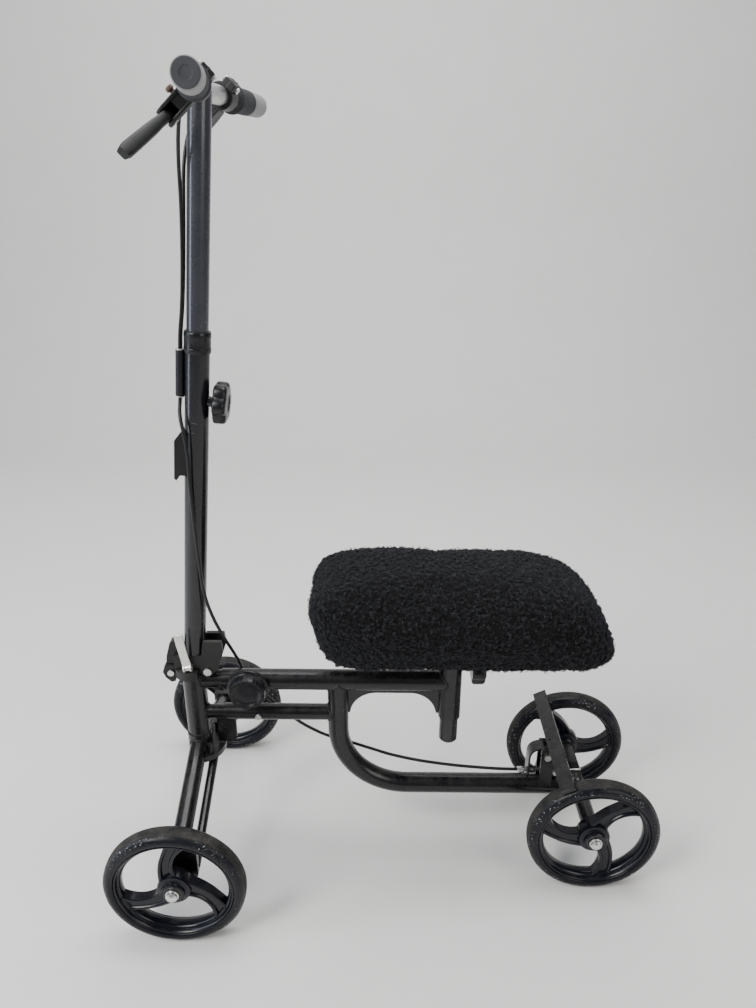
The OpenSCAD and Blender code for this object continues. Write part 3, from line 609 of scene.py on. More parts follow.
def stage():
    """A floor that curves up into a pale backdrop behind the scooter."""
    half_width = 9.0
    profile = [(-5.0, 0.0), (1.8, 0.0)]
    profile += [(1.8 + math.sin(a), 1 - math.cos(a)) for a in np.linspace(0.06, math.pi / 2, 24)]
    profile += [(2.8, 6.0)]
    verts = [(x, y, z) for y, z in profile for x in (-half_width, half_width)]
    faces = [(2 * i, 2 * i + 1, 2 * i + 3, 2 * i + 2) for i in range(len(profile) - 1)]
    add("floor", (verts, faces), FLOOR, None)


stage()


# ---- Wheels

def tyre_profile():
    """(r, w) of the tyre's section in mm: fine ribs on the tread, round shoulders, a bulged wall."""
    half = [(84.0, 12.4), (85.4, 14.0), (87.6, 14.8), (90.4, 15.0), (93.2, 14.4), (95.6, 13.0), (97.6, 11.0),
            (98.9, 8.8)]
    # Width across the tread, and 1 at the bottom of a groove
    ribs = [(-7.4, 0), (-6.8, 0), (-6.4, 1), (-5.9, 1), (-5.5, 0), (-2.6, 0), (-2.2, 1), (-1.7, 1), (-1.3, 0),
            (1.3, 0), (1.7, 1), (2.2, 1), (2.6, 0), (5.5, 0), (5.9, 1), (6.4, 1), (6.8, 0), (7.4, 0)]
    tread = [(99.95 - 0.0115 * w * w - 0.45 * groove, w) for w, groove in ribs]
    return [(r, -w) for r, w in half] + tread + [(r, w) for r, w in reversed(half)]


SPOKES = 3
SPOKE_START = -58
SPOKE_RINGS = 25
SPOKE_CURVE = 62
SPOKE_ARC = (14, 68)
SPOKE_FOOT_R = 79.6
# Across and along the axle: a web with a raised rib on both edges
SPOKE_SECTION = [(-1.0, 7.4), (-0.86, 8.6), (-0.66, 8.8), (-0.54, 8.0), (-0.44, 5.6), (0.44, 5.6), (0.54, 8.0),
                 (0.66, 8.8), (0.86, 8.6), (1.0, 7.4)]
SPOKE_SECTION += [(u, -w) for u, w in reversed(SPOKE_SECTION)]
RIM_RING = [(83.9, -12.4), (83.9, 12.4), (82.6, 13.2), (81.2, 13.0), (80.2, 11.8), (79.4, 8.8), (77.0, 7.6),
            (75.6, 5.0), (75.0, 0.0), (75.6, -5.0), (77.0, -7.6), (79.4, -8.8), (80.2, -11.8), (81.2, -13.0),
            (82.6, -13.2)]
HUB = [(13.2, -17.9), (15.4, -17.9), (16.8, -16.6), (17.2, -13.0), (20.0, -11.4), (23.0, -10.6), (24.0, -8.0),
       (24.0, 8.0), (23.0, 10.6), (20.0, 11.4), (17.2, 13.0), (16.8, 16.6), (15.4, 17.9), (13.2, 17.9)]
SEAL = [(5.3, 15.0), (12.9, 15.0), (13.3, 17.4), (12.6, 18.05), (5.3, 18.05)]
# Washer and domed hexagon head
BOLT = [(0.0, 18.4), (9.4, 18.4), (9.5, 19.6), (9.0, 20.0), (7.6, 20.1), (7.7, 23.2), (7.0, 24.6), (5.6, 25.6),
        (4.3, 26.1), (3.0, 26.3), (2.9, 24.0), (0.0, 24.0)]
# Where the tread's and the shoulders' materials start, and the bolt head's radii that become a hexagon, in metres
TREAD_R, TREAD_HALF, SHOULDER_R = 0.0984, 0.0090, 0.0915
HEX_LOW, HEX_HIGH, HEX_FROM, HEX_GROW = 0.0065, 0.0085, 0.0203, 1.06


def spoke(turn):
    """A curved spoke from the hub out, which widens towards the rim."""
    rings = []
    for k in range(SPOKE_RINGS):
        t = k / (SPOKE_RINGS - 1)
        a = math.radians(SPOKE_ARC[0] + SPOKE_ARC[1] * t)
        cx, cy = SPOKE_CURVE - SPOKE_CURVE * math.cos(a), SPOKE_CURVE * math.sin(a)
        nx, ny = -math.cos(a), math.sin(a)
        width = 9.4 + 5.0 * (1 - t) ** 4 + 9.0 * max(0.0, t - 0.55) ** 2 * 4.0
        foot = max(0.0, (t - 0.5) / 0.5) ** 3
        thick = 1.0 - 0.10 * math.sin(math.pi * t)
        ring = []
        for u, w in SPOKE_SECTION:
            px, py = cx + nx * u * width, cy + ny * u * width
            # The foot of the spoke ends inside the rim along its whole width
            stretch = 1 + foot * (SPOKE_FOOT_R / max(1.0, math.hypot(px, py)) - 1)
            px, py = px * stretch, py * stretch
            ring.append(mm(px * math.cos(turn) - py * math.sin(turn), px * math.sin(turn) + py * math.cos(turn),
                           w * thick))
        rings.append(ring)
    return loft(rings)


def wheel(name, x, y, phase):
    body, place = name + "_wheel", wheel_place(x, y)
    tyre = add(name + "_tyre", lathe(tyre_profile(), 144), [WALL, TREAD, SHOULDER], body, place,
               replaces=name + "_tyre", angle=50)
    centre = Vector((x, y, WHEEL_R))
    for p in tyre.data.polygons:
        d = p.center - centre
        r = math.hypot(d.x, d.z)
        if r > TREAD_R and abs(d.y) < TREAD_HALF:
            p.material_index = 1
        elif r > SHOULDER_R:
            p.material_index = 2

    spokes = [spoke(math.radians(phase + 360 / SPOKES * i + SPOKE_START)) for i in range(SPOKES)]
    add(name + "_rim", join(lathe(RIM_RING, 144), lathe(HUB), *spokes), RIM, body, place,
        replaces=name + "_rim", angle=38)
    seals = join(lathe(SEAL, 48), lathe([(r, -w) for r, w in reversed(SEAL)], 48))
    add(name + "_bearing_seals", seals, BRACKET, body, place)

    verts, faces = lathe(BOLT, 60)
    for i, v in enumerate(verts):
        r = math.hypot(v.x, v.y)
        if HEX_LOW < r < HEX_HIGH and v.z > HEX_FROM:
            flat = math.cos(math.radians(30)) / math.cos((math.atan2(v.y, v.x) % (math.pi / 3)) - math.pi / 6)
            verts[i] = Vector((v.x * flat * HEX_GROW, v.y * flat * HEX_GROW, v.z))
    add(name + "_bolt_head", (verts, faces), STEEL, "steering" if x < 0 else "frame", place,
        angle=24)


for name, x, y, phase in (("front_left", -AXLE_X, -FRONT_Y, 90), ("front_right", -AXLE_X, FRONT_Y, 50),
                          ("rear_left", AXLE_X, -REAR_Y, 50), ("rear_right", AXLE_X, REAR_Y, 60)):
    wheel(name, x, y, phase)


# ---- Cushion

# Ends at the bottom and the top, half widths, heights, and how square the pad is in plan and in height
PAD = {"front": (-103, -138), "rear": (338, 269), "half": (83.5, 100), "height": (362.5, 507),
       "plan": (5.5, 3.9), "section": (3.3, 7.5)}
PAD_GRID = (46, 20, 14)
# How much smaller than PAD the first shape is, at the sides and top and at the bottom, in mm
PAD_INSET = 5.0
PAD_LIFT = 2


def cushion_base():
    """Pad leaning forwards at the top and drawn in under its board, slightly smaller than the finished cover."""
    index, verts, faces = {}, [], []

    def between(pair, h, shrink):
        return pair[0] + (pair[1] - pair[0]) * h + shrink

    def vertex(i, j, k):
        key = (i, j, k)
        if key not in index:
            index[key] = len(verts)
            a, b, c = (2 * at / count - 1 for at, count in zip(key, PAD_GRID))
            n = PAD["plan"][1 if a > 0 else 0]
            reach = max(abs(a), abs(b))
            if reach:
                f = reach / (abs(a) ** n + abs(b) ** n) ** (1 / n)
                a, b = a * f, b * f
            n = PAD["section"][0 if c > 0 else 1]
            f = max(reach, abs(c)) / (reach ** n + abs(c) ** n) ** (1 / n)
            a, b, c = a * f, b * f, c * f
            h = (c + 1) / 2
            x0, x1 = between(PAD["front"], h, PAD_INSET), between(PAD["rear"], h, -PAD_INSET)
            half = between(PAD["half"], math.sqrt(h), -PAD_INSET)
            z0, z1 = PAD["height"][0] + PAD_LIFT, PAD["height"][1] - PAD_INSET
            verts.append(mm((x0 + x1) / 2 + (x1 - x0) / 2 * a, half * b, z0 + h * (z1 - z0)))
        return index[key]

    one_way = ((0, 0), (0, 1), (1, 1), (1, 0))
    other_way = ((0, 0), (1, 0), (1, 1), (0, 1))
    # The two running axes of a pair of sides, the axis across them, and how their corners run
    for u, v, w, ways in ((0, 1, 2, (one_way, other_way)), (0, 2, 1, (other_way, one_way)),
                          (1, 2, 0, (one_way, other_way))):
        for a in range(PAD_GRID[u]):
            for b in range(PAD_GRID[v]):
                for end, way in zip((0, PAD_GRID[w]), ways):
                    face = []
                    for da, db in way:
                        at = {u: a + da, v: b + db, w: end}
                        face.append(vertex(at[0], at[1], at[2]))
                    faces.append(tuple(face))
    return verts, faces


def apply_modifiers(obj):
    graph = bpy.context.evaluated_depsgraph_get()
    mesh = bpy.data.meshes.new_from_object(obj.evaluated_get(graph))
    obj.modifiers.clear()
    old = obj.data
    obj.data = mesh
    bpy.data.meshes.remove(old)


def values(items, name):
    """One row of three numbers for each item."""
    out = np.empty(len(items) * 3)
    items.foreach_get(name, out)
    return out.reshape(-1, 3)


CLOTH_FRAMES = 20
VOXEL, SWELL_CAP = 0.006, 0.006


def inflate(obj):
    """Remesh, blow up with cloth pressure, and limit how far any point moves."""
    m = obj.modifiers.new("remesh", "REMESH")
    m.mode = "VOXEL"
    m.voxel_size = VOXEL
    m.use_smooth_shade = True
    apply_modifiers(obj)
    start = values(obj.data.vertices, "co")
    c = obj.modifiers.new("cloth", "CLOTH")
    c.settings.use_pressure = True
    c.settings.uniform_pressure_force = 4.0
    c.settings.effector_weights.gravity = 0
    c.settings.quality = 6
    c.point_cache.frame_start, c.point_cache.frame_end = 1, CLOTH_FRAMES
    for f in range(1, CLOTH_FRAMES + 1):
        scene.frame_set(f)
    graph = bpy.context.evaluated_depsgraph_get()
    end = values(obj.evaluated_get(graph).to_mesh().vertices, "co")
    obj.modifiers.clear()
    scene.frame_set(1)
    move = end - start
    length = np.linalg.norm(move, axis=1, keepdims=True)
    move *= np.minimum(1, SWELL_CAP / np.maximum(length, 1e-9))
    obj.data.vertices.foreach_set("co", (start + move).ravel())
    obj.data.update()


def seeded(seed):
    return Vector((seed * 3.1, seed * 1.7, seed * 2.3))


def grid_noise(points, size, seed):
    """Smooth noise from -1 to 1 at points, one value each."""
    offset = seeded(seed)
    return np.array([noise.noise(Vector(p) / size + offset) for p in points])


def tufts(points, size, seed):
    """Height from 0 to 1 of rounded locks of about the given size."""
    offset = seeded(seed)
    out = np.empty(len(points))
    for i, p in enumerate(points):
        v = Vector(p) / size + offset
        v += 0.55 * noise.noise_vector(v * 1.3)
        d = noise.voronoi(v)[0]
        out[i] = 1 - min(1.0, d[0] / max(1e-6, d[1] + 0.15)) ** 2
    return out


def mesh_arrays(obj):
    return values(obj.data.vertices, "co"), values(obj.data.vertices, "normal")


def subdivide(obj, levels):
    m = obj.modifiers.new("fine", "SUBSURF")
    m.levels = m.render_levels = levels
    apply_modifiers(obj)


def cushion():
    pad = add("knee_cushion_cover", cushion_base(), FLEECE, None)
    inflate(pad)
    co, normal = mesh_arrays(pad)
    # Worn a little hollow in the middle, with the lumps of an old pad
    x = (co[:, 0] - 0.1) / 0.226
    top = np.clip((co[:, 2] - 0.43) / 0.06, 0, 1)
    co[:, 2] -= top * 0.0016 * np.exp(-((x * 1.6) ** 2))
    co += normal * (0.0016 * grid_noise(co, 0.07, 3))[:, None]
    pad.data.vertices.foreach_set("co", co.ravel())
    subdivide(pad, 2)
    co, normal = mesh_arrays(pad)
    # Locks of pile, flattened underneath
    bottom = np.clip((0.369 - co[:, 2]) / 0.004, 0, 1)
    pile = 0.0050 * tufts(co, 0.0080, 1) + 0.0022 * tufts(co, 0.0038, 2) - 0.0024
    co = co + normal * (pile * (1 - 0.85 * bottom))[:, None]
    pad.data.vertices.foreach_set("co", co.ravel())
    pad.data.update()
    for p in pad.data.polygons:
        p.use_smooth = True
    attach(pad, "seat")
    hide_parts("knee_cushion")
    add_curls(*mesh_arrays(pad))


CURLS = 11000
CURL_SIDES = 3
CURL_POINTS = 7
CURLS_FROM = 0.366


def add_curls(co, normal):
    """Loose curls standing out of the pile, above the height CURLS_FROM."""
    keep = np.flatnonzero(co[:, 2] > CURLS_FROM)
    pick = rng.choice(keep, CURLS, replace=False)
    verts, faces = [], []
    for i in pick:
        p, n = Vector(co[i]), Vector(normal[i]).normalized()
        side = n.orthogonal().normalized()
        side.rotate(Matrix.Rotation(random.uniform(0, 2 * math.pi), 3, n))
        other = n.cross(side)
        r = random.uniform(0.0011, 0.0022)
        turns = random.uniform(0.7, 1.25) * random.choice((-1, 1))
        rise = random.uniform(0.0008, 0.0028)
        path = []
        for k in range(CURL_POINTS):
            t = k / (CURL_POINTS - 1)
            a = 2 * math.pi * turns * k / (CURL_POINTS - 1)
            path.append(p + side * (r * (math.cos(a) - 1)) + other * (r * math.sin(a))
                        + n * (-0.0006 + rise * math.sin(math.pi * t * 0.8)))
        thick = random.uniform(0.00040, 0.0007)
        v, f = tube(path, [thick * (1 - 0.5 * k / CURL_POINTS) for k in range(CURL_POINTS)], CURL_SIDES)
        first = len(verts)
        verts += v
        faces += [tuple(j + first for j in face) for face in f]
    # The curls take the lighter copy of the fleece, a painted highlight.
    curls = add("knee_cushion_curls", (verts, faces), LIT_CURL_FLEECE, "seat", angle=180)


cushion()


# ---- Knobs

def star_knob(node, place, thickness):
    """Lobed knob with a domed face, a recessed centre and a metal core; local Z points out of its face."""
    steps = 120
    outer = 28.3
    lobes = 6
    levels = [(0.60, 0.0), (0.90, 0.2), (0.97, 1.2), (1.0, 3.0), (1.0, thickness - 6), (0.985, thickness - 3.4),
              (0.93, thickness - 1.4), (0.84, thickness - 0.4), (0.55, thickness), (0.44, thickness),
              (0.40, thickness - 1.2), (0.20, thickness - 1.6)]
    rings = []
    for share, z in levels:
        ring = []
        for a in angles(steps):
            lobe = 0.5 + 0.5 * math.cos(lobes * (a - math.pi / lobes))
            lobed = outer * (1 - 0.15 * (1 - lobe ** 0.55))
            r = lobed * share if share > 0.6 else outer * share * 0.95
            # The face's lobes fade towards its centre
            if 0.5 < share <= 0.6:
                r = 0.6 * lobed * share / 0.6 + 0.4 * outer * share * 0.9
            ring.append(mm(r * math.cos(a), r * math.sin(a), z))
        rings.append(ring)
    add(node + "_body", loft(rings), KNOB, node, place, replaces=node, angle=45)
    add(node + "_body_stud", lathe([(0, -14), (3.9, -14), (3.9, 0.5), (0, 0.5)], 32), STEEL, node, place)


star_knob("column_knob", COLUMN @ shift(23.3, 0, 449) @ turned("Y", 90), 18)
star_knob("seat_knob", shift(119.3, 0, 331) @ turned("Y", 90), 21)


def frame_knob():
    """Round dished knob with a finely fluted side."""
    place = shift(-219.5, -16.3, 301) @ turned("X", 90)
    profile = [(0, 0.2), (10, 0.2), (10, 1.6), (31.0, 1.6), (32.0, 2.6), (32.0, 5.6), (31.2, 6.8), (28.8, 7.4),
               (28.0, 8.6), (28.4, 12.0), (27.6, 17.0), (26.6, 21.0), (25.2, 22.7), (23.2, 23.0), (21.4, 22.2),
               (19.5, 19.8), (16.0, 18.4), (8.0, 17.9), (0, 17.8)]
    body = knurled(lathe(profile, 96), 24, 0.022, 0.0255, 0.0287, 2, (0.008, 0.0215))
    add("frame_knob_body", body, KNOB, "frame_knob", place, replaces="frame_knob", angle=42)
    add("frame_knob_stud", lathe([(0, -2.0), (3.95, -2.0), (3.95, 1.0), (0, 1.0)], 32), STEEL, "frame_knob", place)


frame_knob()


# ---- Handlebar

def grip(side, mirror):
    """Ribbed grip in two sleeves with an end cap; local -Y runs outwards, so the lathe's Z is turned to it."""
    place = bar_side(mirror) @ turned("X", 90)
    inner = [(11.15, 107.6), (17.2, 107.6), (17.9, 108.4), (17.9, 111.0), (17.0, 112.0), (15.6, 112.8)]
    z = 114.0
    while z < 160.0:
        inner += [(15.5, z), (15.5, z + 1.6), (15.15, z + 2.0), (15.15, z + 2.4)]
        z += 2.8
    inner += [(15.5, 161.5), (15.1, 162.4), (11.15, 162.4)]
    outer = [(11.15, 162.8), (14.9, 162.8), (15.2, 163.6), (15.3, 170), (15.1, 178), (14.9, 186), (14.8, 196),
             (14.7, 206), (14.6, 211), (14.2, 213.6), (13.3, 215.0), (12.7, 215.2), (12.7, 212.2), (11.15, 212.2)]
    cap = [(0, 212.2), (12.55, 212.2), (12.65, 215.4), (13.1, 215.8), (13.2, 216.5), (12.4, 217.0), (6.2, 216.9),
           (5.4, 216.3), (2.0, 216.0), (0, 216.0)]
    for part, profile, material in (("inner", inner, GRIP_DARK), ("outer", outer, GRIP_LIGHT),
                                    ("cap", cap, GRIP_END)):
        add(f"grip_{part}_{side}", lathe(profile), material, "handle", place,
            replaces="grips" if part == "inner" else None, angle=30)


for side, mirror in SIDES:
    grip(side, mirror)


LEVER_PIVOT = shift(-40, -76, 0)
BLADE_SIDES = 20
BLADE_SQUARE = 0.45


def brake_lever(side, place):
    """Cast lever blade, pivot boss and pin in the lever's own plane."""
    centre = [(-38.5, -70.0), (-41.0, -78.0), (-46.0, -88.0), (-52.0, -97.5), (-58.5, -107.5), (-66.0, -119.5),
              (-74.5, -133.0), (-83.0, -146.5), (-90.5, -158.0), (-95.0, -164.6)]
    wide = [4.6, 6.0, 6.4, 6.0, 5.4, 5.0, 4.9, 5.0, 5.2, 4.2]
    tall = [5.4, 5.7, 5.7, 5.7, 6.6, 7.0, 7.2, 7.4, 7.4, 5.6]
    path = smooth_path([(x, y, 0) for x, y in centre], 5)
    n = len(path)
    rings = []
    for i, p in enumerate(path):
        t = (path[min(i + 1, n - 1)] - path[max(i - 1, 0)]).normalized()
        across = Vector((-t.y, t.x, 0))
        u = i / (n - 1) * (len(wide) - 1)
        k = min(int(u), len(wide) - 2)
        w = wide[k] + (wide[k + 1] - wide[k]) * (u - k)
        h = tall[k] + (tall[k + 1] - tall[k]) * (u - k)
        ring = []
        for a in angles(BLADE_SIDES):
            c, s = (math.copysign(abs(q) ** BLADE_SQUARE, q) for q in (math.cos(a), math.sin(a)))
            ring.append((p + across * (w * c) + Vector((0, 0, h * s))) / 1000)
        rings.append(ring)
    boss = moved(lathe([(0, -5.7), (6.8, -5.7), (7.5, -5.0), (7.5, 5.0), (6.8, 5.7), (0, 5.7)], 40), LEVER_PIVOT)
    body = "brake_lever_" + side
    add("brake_lever_blade_" + side, join(loft(rings), boss), LEVER, body, place, replaces=body,
        angle=50)
    pin = moved(lathe([(0, -10.6), (3.4, -10.6), (3.6, -10.1), (2.45, -10.0), (2.45, 10.0), (3.6, 10.1),
                       (3.4, 10.8), (0, 10.8)], 24), LEVER_PIVOT)
    add("brake_lever_pin_" + side, pin, STEEL, body, place)


def perch(side, place):
    """Clamp ring, slotted body, ears with their screw, and barrel of a lever's mount."""
    ring = lathe([(11.15, 66), (15.2, 66), (16.1, 66.9), (16.1, 87.1), (15.2, 88), (11.15, 88)])
    add("perch_ring_" + side, ring, LEVER, "handle", place @ turned("X", 90),
        replaces="lever_perches")
    # Upper and lower cheeks with the web between them
    outline = [(-46, -88), (-40, -91.5), (-28, -92), (-14, -90), (-12, -66), (-22, -63.5), (-38, -64),
               (-47.5, -68), (-49.5, -76), (-49, -83)]
    web = [(-29.5, -91), (-14, -89), (-12, -66), (-22, -64), (-38, -64.2), (-38, -67.6), (-29.5, -67.6)]
    for part, mesh, width, segments in (("upper", prism(outline, 6.1, 10.0), 0.0011, 3),
                                        ("lower", prism(outline, -10.0, -6.1), 0.0011, 3),
                                        ("web", prism(web, -6.2, 6.2), 0.0006, 2),
                                        ("ears", box_mesh(11, 22, -88, -64, -8, 8), 0.0016, 3)):
        rounded(add(f"perch_{part}_{side}", mesh, LEVER, "handle", place), width, segments)
    add("perch_slit_" + side, box_mesh(12, 22.4, -88.4, -63.6, -0.8, 0.8), GRIP_END, "handle", place,
        smooth=False)
    head = lathe([(0, 6.4), (4.0, 6.4), (4.2, 7.0), (4.2, 9.4), (3.7, 10.0), (2.3, 10.0), (2.2, 8.4), (0, 8.4)],
                 30)
    nut = lathe([(0, -9.0), (3.6, -9.0), (4.0, -8.4), (4.0, -6.4), (0, -6.4)], 6)
    screw = moved(join(head, nut), shift(17, -76, 0) @ Matrix.Scale(1.18, 4, (0, 0, 1)))
    add("perch_screw_" + side, screw, STEEL, "handle", place)
    # Barrel adjuster and lock ring, along the bar towards the centre
    barrel = [(0, -65.6), (4.6, -65.6), (4.9, -65.0), (4.9, -61.8), (4.4, -61.2), (3.0, -61.1), (3.0, -60.6),
              (4.5, -60.4), (4.6, -57.6), (4.3, -54.6), (3.2, -53.2), (2.4, -52.4), (0, -52.4)]
    add("perch_barrel_" + side, knurled(lathe(barrel, 48), 16, 0.05, 0.0042), BRACKET, "handle",
        place @ shift(-26, 0, 0) @ turned("X", -90))


def park_button(side, place):
    profile = [(0, 6.0), (2.9, 6.0), (2.9, 13.4), (4.1, 13.5), (4.5, 14.0), (4.4, 16.6), (3.7, 17.7), (2.6, 18.0),
               (1.6, 17.7), (0, 17.5)]
    body = "park_button_" + side
    add("park_button_cap_" + side, lathe(profile, 40), BUTTON, body, place @ shift(-22, -78, 0),
        replaces=body)


for side, mirror in SIDES:
    for build in (brake_lever, perch, park_button):
        build(side, lever_side(mirror))


# ---- Cables

LEVER_CABLE = [(-8.3, -56, -19.6), (-10.4, -46.5, -20.8), (-13.5, -37, -27), (-17, -28, -40), (-19.5, -19.5, -59),
               (-20.5, -12, -84), (-19.5, -7, -120), (-18.7, -4.5, -165), (-18.7, -3.4, -210), (-19.6, -3, -245),
               (-21.6, -3, -275), (-21.9, -3, -295.7)]
COLUMN_CABLE = [(-21.9, 0, 452), (-22, -1.5, 444), (-21, -7.5, 434), (-18, -14.5, 424), (-13.5, -19, 410),
                (-10, -20.5, 394), (-7, -20.8, 372), (-5, -20.8, 345), (-2.5, -20.8, 320), (0, -20.8, 295),
                (3, -20.8, 268), (6.5, -20.8, 240), (10.5, -20.3, 208), (15, -19.5, 178), (22, -17.5, 149),
                (32, -13.5, 119.5)]
NECK_CABLE = [(-261.5, -13.3, 412.1), (-257, -11, 398), (-253, -7.5, 384), (-249, -2.5, 370), (-245, 3.5, 355),
              (-241.5, 10, 340), (-238.5, 15.5, 327), (-236.7, 18.7, 317)]
FRAME_CABLE = [(-236.5, 19, 316), (-231.5, 20.5, 300), (-218, 20.5, 279), (-196, 19.5, 253), (-172, 19.5, 228),
               (-148, 19.5, 206), (-126, 20.5, 190), (-103, 21.5, 177), (-64, 20.5, 164), (-30, 17, 154),
               (4, 11, 147), (51, 3, 142.5), (108, -3, 139), (165, -6, 136.5), (190, -6.5, 136),
               (209.5, -6.5, 136)]
CABLE_R = 0.0025
LEVER_CABLE_R = 0.00225
# The neck cable's point where its two parts meet; on the scooter this point moves with the steering
NECK_SPLIT = 28


def route(points, steps):
    return smooth_path([mm(*p) for p in points], steps)


def cable(name, path, body, replaces=None, radius=CABLE_R):
    return add(name, tube(path, radius, 14), JACKET, body, replaces=replaces, angle=60)


def cables():
    for side, mirror in SIDES:
        path = [BAR @ mirror @ p for p in route(LEVER_CABLE, 8)]
        obj = cable("lever_cable_" + side, path, None, radius=LEVER_CABLE_R)
        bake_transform(obj)
        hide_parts("lever_cables")
        ahead = (path[1] - path[0]).normalized()
        add("lever_cable_ferrule_" + side, tube([path[0] - ahead * 0.001, path[0] + ahead * 0.007], 0.0027, 20),
            STEEL, "handle")
    cable("column_cable", [COLUMN @ p for p in route(COLUMN_CABLE, 6)], "column", "cable_column")
    cable("frame_cable", route(FRAME_CABLE, 6), "frame", "cable_frame")
    path = route(NECK_CABLE, 8)
    for name, part, a, b in (("neck_cable_upper", path[:NECK_SPLIT + 1], "column", "steering"),
                             ("neck_cable_lower", path[NECK_SPLIT:], "steering", "frame")):
        obj = cable(name, part, None)
        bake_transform(obj)
        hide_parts("cable_neck")


cables()


def joiner():
    place = COLUMN @ shift(-21.9, 0, 484)
    sleeve = [(0, -30.5), (5.6, -30.5), (6.1, -29.8), (6.1, 29.8), (5.6, 30.5), (0, 30.5)]
    add("cable_joiner_sleeve", lathe(sleeve, 48), BRACKET, "column", place,
        replaces="cable_joiner")
    ends = join(lathe([(0, -32), (4.6, -32), (5.4, -31.4), (5.4, -30), (0, -30)], 40),
                lathe([(0, 30), (5.6, 30), (5.6, 31.5), (5.1, 32), (0, 32)], 40))
    add("cable_joiner_ends", ends, STEEL, "column", place)


joiner()


# ---- Small parts

WELD_POINTS = 220
Y_SIDES = ((-1, "left"), (1, "right"))


def bead_piece(name, path, size, body, closed=True):
    add(name, tube(path, size, 8, closed), PAINT, body, angle=80)


def weld(name, centre, axis, other, r, big, bead=0.0019):
    """Rippled bead where a tube of radius r along axis meets a tube of radius big along other."""
    axis, other = Vector(axis).normalized(), Vector(other).normalized()
    side = axis.cross(other).normalized()
    path, size = [], []
    for a in angles(WELD_POINTS):
        across = r * math.cos(a)
        depth = math.sqrt(max(0.0, big * big - across * across))
        # A surface point where both tubes meet
        path.append(Vector(centre) + side * across + other * (r * math.sin(a)) + axis * depth)
        size.append(bead * (1 + 0.16 * math.sin(a * 34 + math.sin(a * 5))))
    bead_piece(name, path, size, "frame")


def welds():
    rear, front, high, low, far = (1, 0, 0), (-1, 0, 0), (0, 0, 1), (0, 0, -1), (0, 1, 0)
    weld("weld_head_upper", mm(-305, 0, 303), rear, high, 0.0138, 0.0175)
    weld("weld_head_lower", mm(-305, 0, 242), rear, high, 0.0107, 0.0175)
    weld("weld_rail_down", mm(-84.5, 0, 242), front, high, 0.0127, 0.016)
    weld("weld_down_beam", mm(-84.5, 0, 303), low, rear, 0.016, 0.016, bead=0.0018)
    weld("weld_beam_socket", mm(89, 0, 303), front, high, 0.016, 0.017)
    weld("weld_rear_axle", mm(305, 0, 100.5), front, far, 0.016, 0.0162, bead=0.0017)
    # Crown: bead where each leg leaves it
    slope = math.atan2(64, 170)
    for s, tag in Y_SIDES:
        leg = Vector((0, s * math.cos(slope), -math.sin(slope)))
        path, size = [], []
        side = Vector((1, 0, 0))
        up = leg.cross(side) * (1 if s > 0 else -1)
        for a in angles(160):
            x, v = 0.0135 * math.cos(a), 0.0135 * math.sin(a)
            reach = math.sqrt(max(0.0, 0.019 ** 2 - x * x))
            base = Vector((-AXLE_X, 0, 0.191)) + side * x + up * v
            t = (reach - s * base.y) / abs(leg.y)
            path.append(base + leg * t)
            size.append(0.0018 * (1 + 0.16 * math.sin(a * 31)))
        bead_piece("weld_leg_" + tag, path, size, "steering")
    # Gusset: beads along the beam
    for s, tag in Y_SIDES:
        path = [mm(x, s * 2.6, 287.6) for x in np.linspace(-66, 71, 120)]
        size = [0.0013 * (1 + 0.2 * math.sin(i * 1.1)) for i in range(120)]
        bead_piece("weld_gusset_" + tag, path, size, "frame", False)


welds()


COLLAR = [(14.05, 541), (14.05, 536.0), (15.95, 536.0), (15.95, 513.2), (17.0, 513.0), (17.5, 513.8),
          (17.5, 519.0), (17.1, 519.6), (17.1, 533.0), (17.5, 533.8), (17.4, 538.0), (16.4, 540.4), (15.0, 541)]
add("column_collar_sleeve", lathe(COLLAR[::-1], 72), KNOB, "column", COLUMN,
    replaces="column_collar")


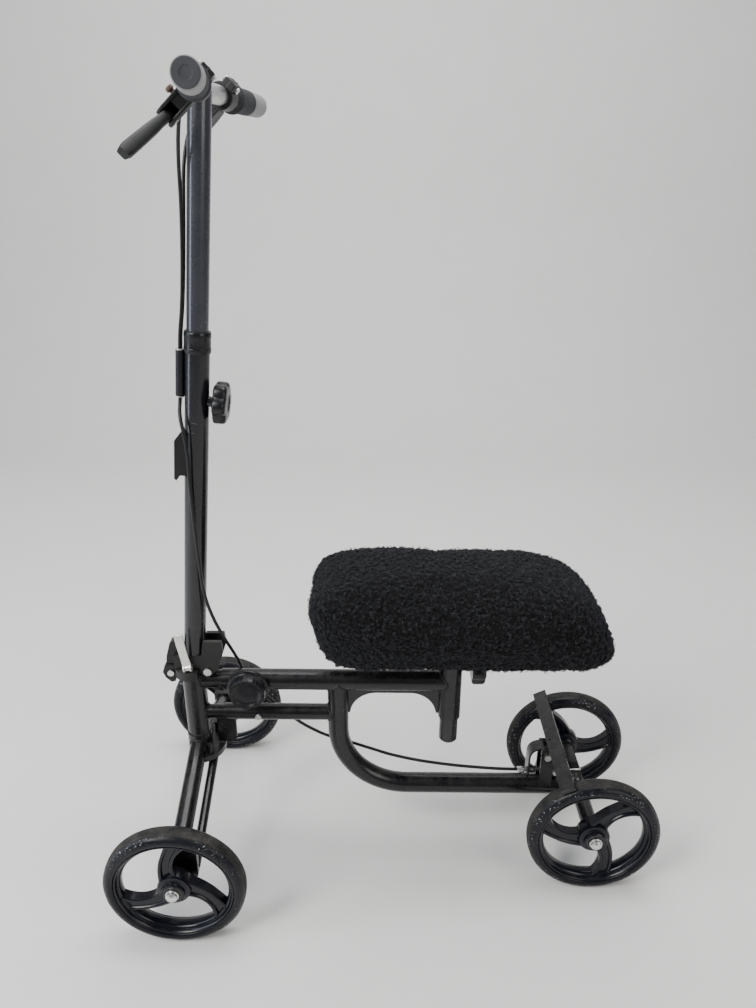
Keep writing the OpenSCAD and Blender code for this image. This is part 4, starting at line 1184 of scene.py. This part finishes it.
def latch():
    """Stamped lever: a flat bar with a slight bow and a forked root, in the skewer's place."""
    place = shift(-307, -22.6, 338) @ turned("Y", -9.2)
    rings = []
    for z, half, y, t in ((4.5, 6.5, 0.0, 2.0), (8, 6.5, 0.0, 2.2), (14, 6.4, -0.5, 1.5), (22, 6.3, -1.1, 1.4),
                          (32, 6.3, -1.5, 1.4), (42, 6.5, -1.3, 1.4), (50, 6.8, -0.5, 1.4), (56, 6.9, 0.4, 1.4),
                          (58.2, 6.4, 0.8, 1.3)):
        rings.append([mm(x, y + v, z) for x, v in ((-half, -t), (half, -t), (half, t), (-half, t))])
    rounded(add("latch_bar", loft(rings), LATCH, "latch_lever", place, replaces="latch_lever"),
            0.0007)
    turn = turned("Y", 90)
    cheek = lathe([(0, 0), (5.2, 0), (6.0, 0.5), (6.0, 2.5), (5.2, 3.0), (0, 3.0)], 48)
    fork = join(moved(cheek, shift(3.5, 0, 0) @ turn), moved(cheek, shift(-6.5, 0, 0) @ turn),
                moved(lathe([(0, -6.8), (2.0, -6.8), (2.0, 6.8), (0, 6.8)], 24), turn))
    add("latch_fork", fork, LATCH, "latch_lever", place)


latch()


WIRE_Y, WIRE_Z = -6.5, 136
BRAKE_BAR_LEAN = 62.5


def brake_parts():
    # Spring and bare wire, which stretch between the bracket and the arm
    turns, steps, r = 7, 20, 3.4
    coil = []
    for i in range(turns * steps + 1):
        a = 2 * math.pi * i / steps
        coil.append(mm(227 + 24 * i / (turns * steps), WIRE_Y + r * math.cos(a), WIRE_Z + r * math.sin(a)))
    wire = [mm(x, WIRE_Y, WIRE_Z) for x in np.linspace(211, 262, 26)]
    obj = add("brake_spring_coil", join(tube(coil, 0.0006, 8), tube(wire, 0.0008, 10)), SPRING, None,
              angle=60)
    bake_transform(obj)
    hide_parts("brake_spring")
    # The adjuster's knurled barrel, and its thread with a lock nut
    place = shift(203, WIRE_Y, WIRE_Z) @ turned("Y", 90)
    barrel = lathe([(2.55, 0), (4.1, 0), (4.5, 0.6), (4.5, 8.6), (4.1, 9.4), (2.0, 9.6), (2.0, 7.9), (2.55, 7.8)],
                   72)
    add("cable_adjuster_barrel", knurled(barrel, 18, 0.07, 0.0043), STEEL, "frame", place,
        replaces="cable_adjuster")
    thread = [(1.1, 9.2)] + [(3.0 if i % 2 else 2.7, 9.2 + 0.5 * i) for i in range(32)] + [(1.1, 24.7)]
    add("cable_adjuster_thread", join(lathe(thread, 32), prism(hex_outline(9), 14.0, 16.0)), SPRING, "frame",
        place, angle=60)
    # Pinch bolt's hexagon head
    rounded(add("pinch_bolt_head", prism(hex_outline(10), -0.2, 1.3), STEEL, "brake_arm",
                shift(266, -9.4, 131) @ turned("X", 90)), 0.0005)
    # A thin folded lip at each end of the bar
    place = Matrix.Translation((AXLE_X, 0, WHEEL_R)) @ turned("Y", BRAKE_BAR_LEAN + 180)
    for tag, y0, y1 in (("left", -116, -113), ("right", 113, 116)):
        rounded(add("brake_bar_end_" + tag, box_mesh(102.4, 108.4, y0, y1, -11.2, 11.2), PAINT, "brake_arm", place), 0.0012, 3)


brake_parts()

scene.frame_set(1)
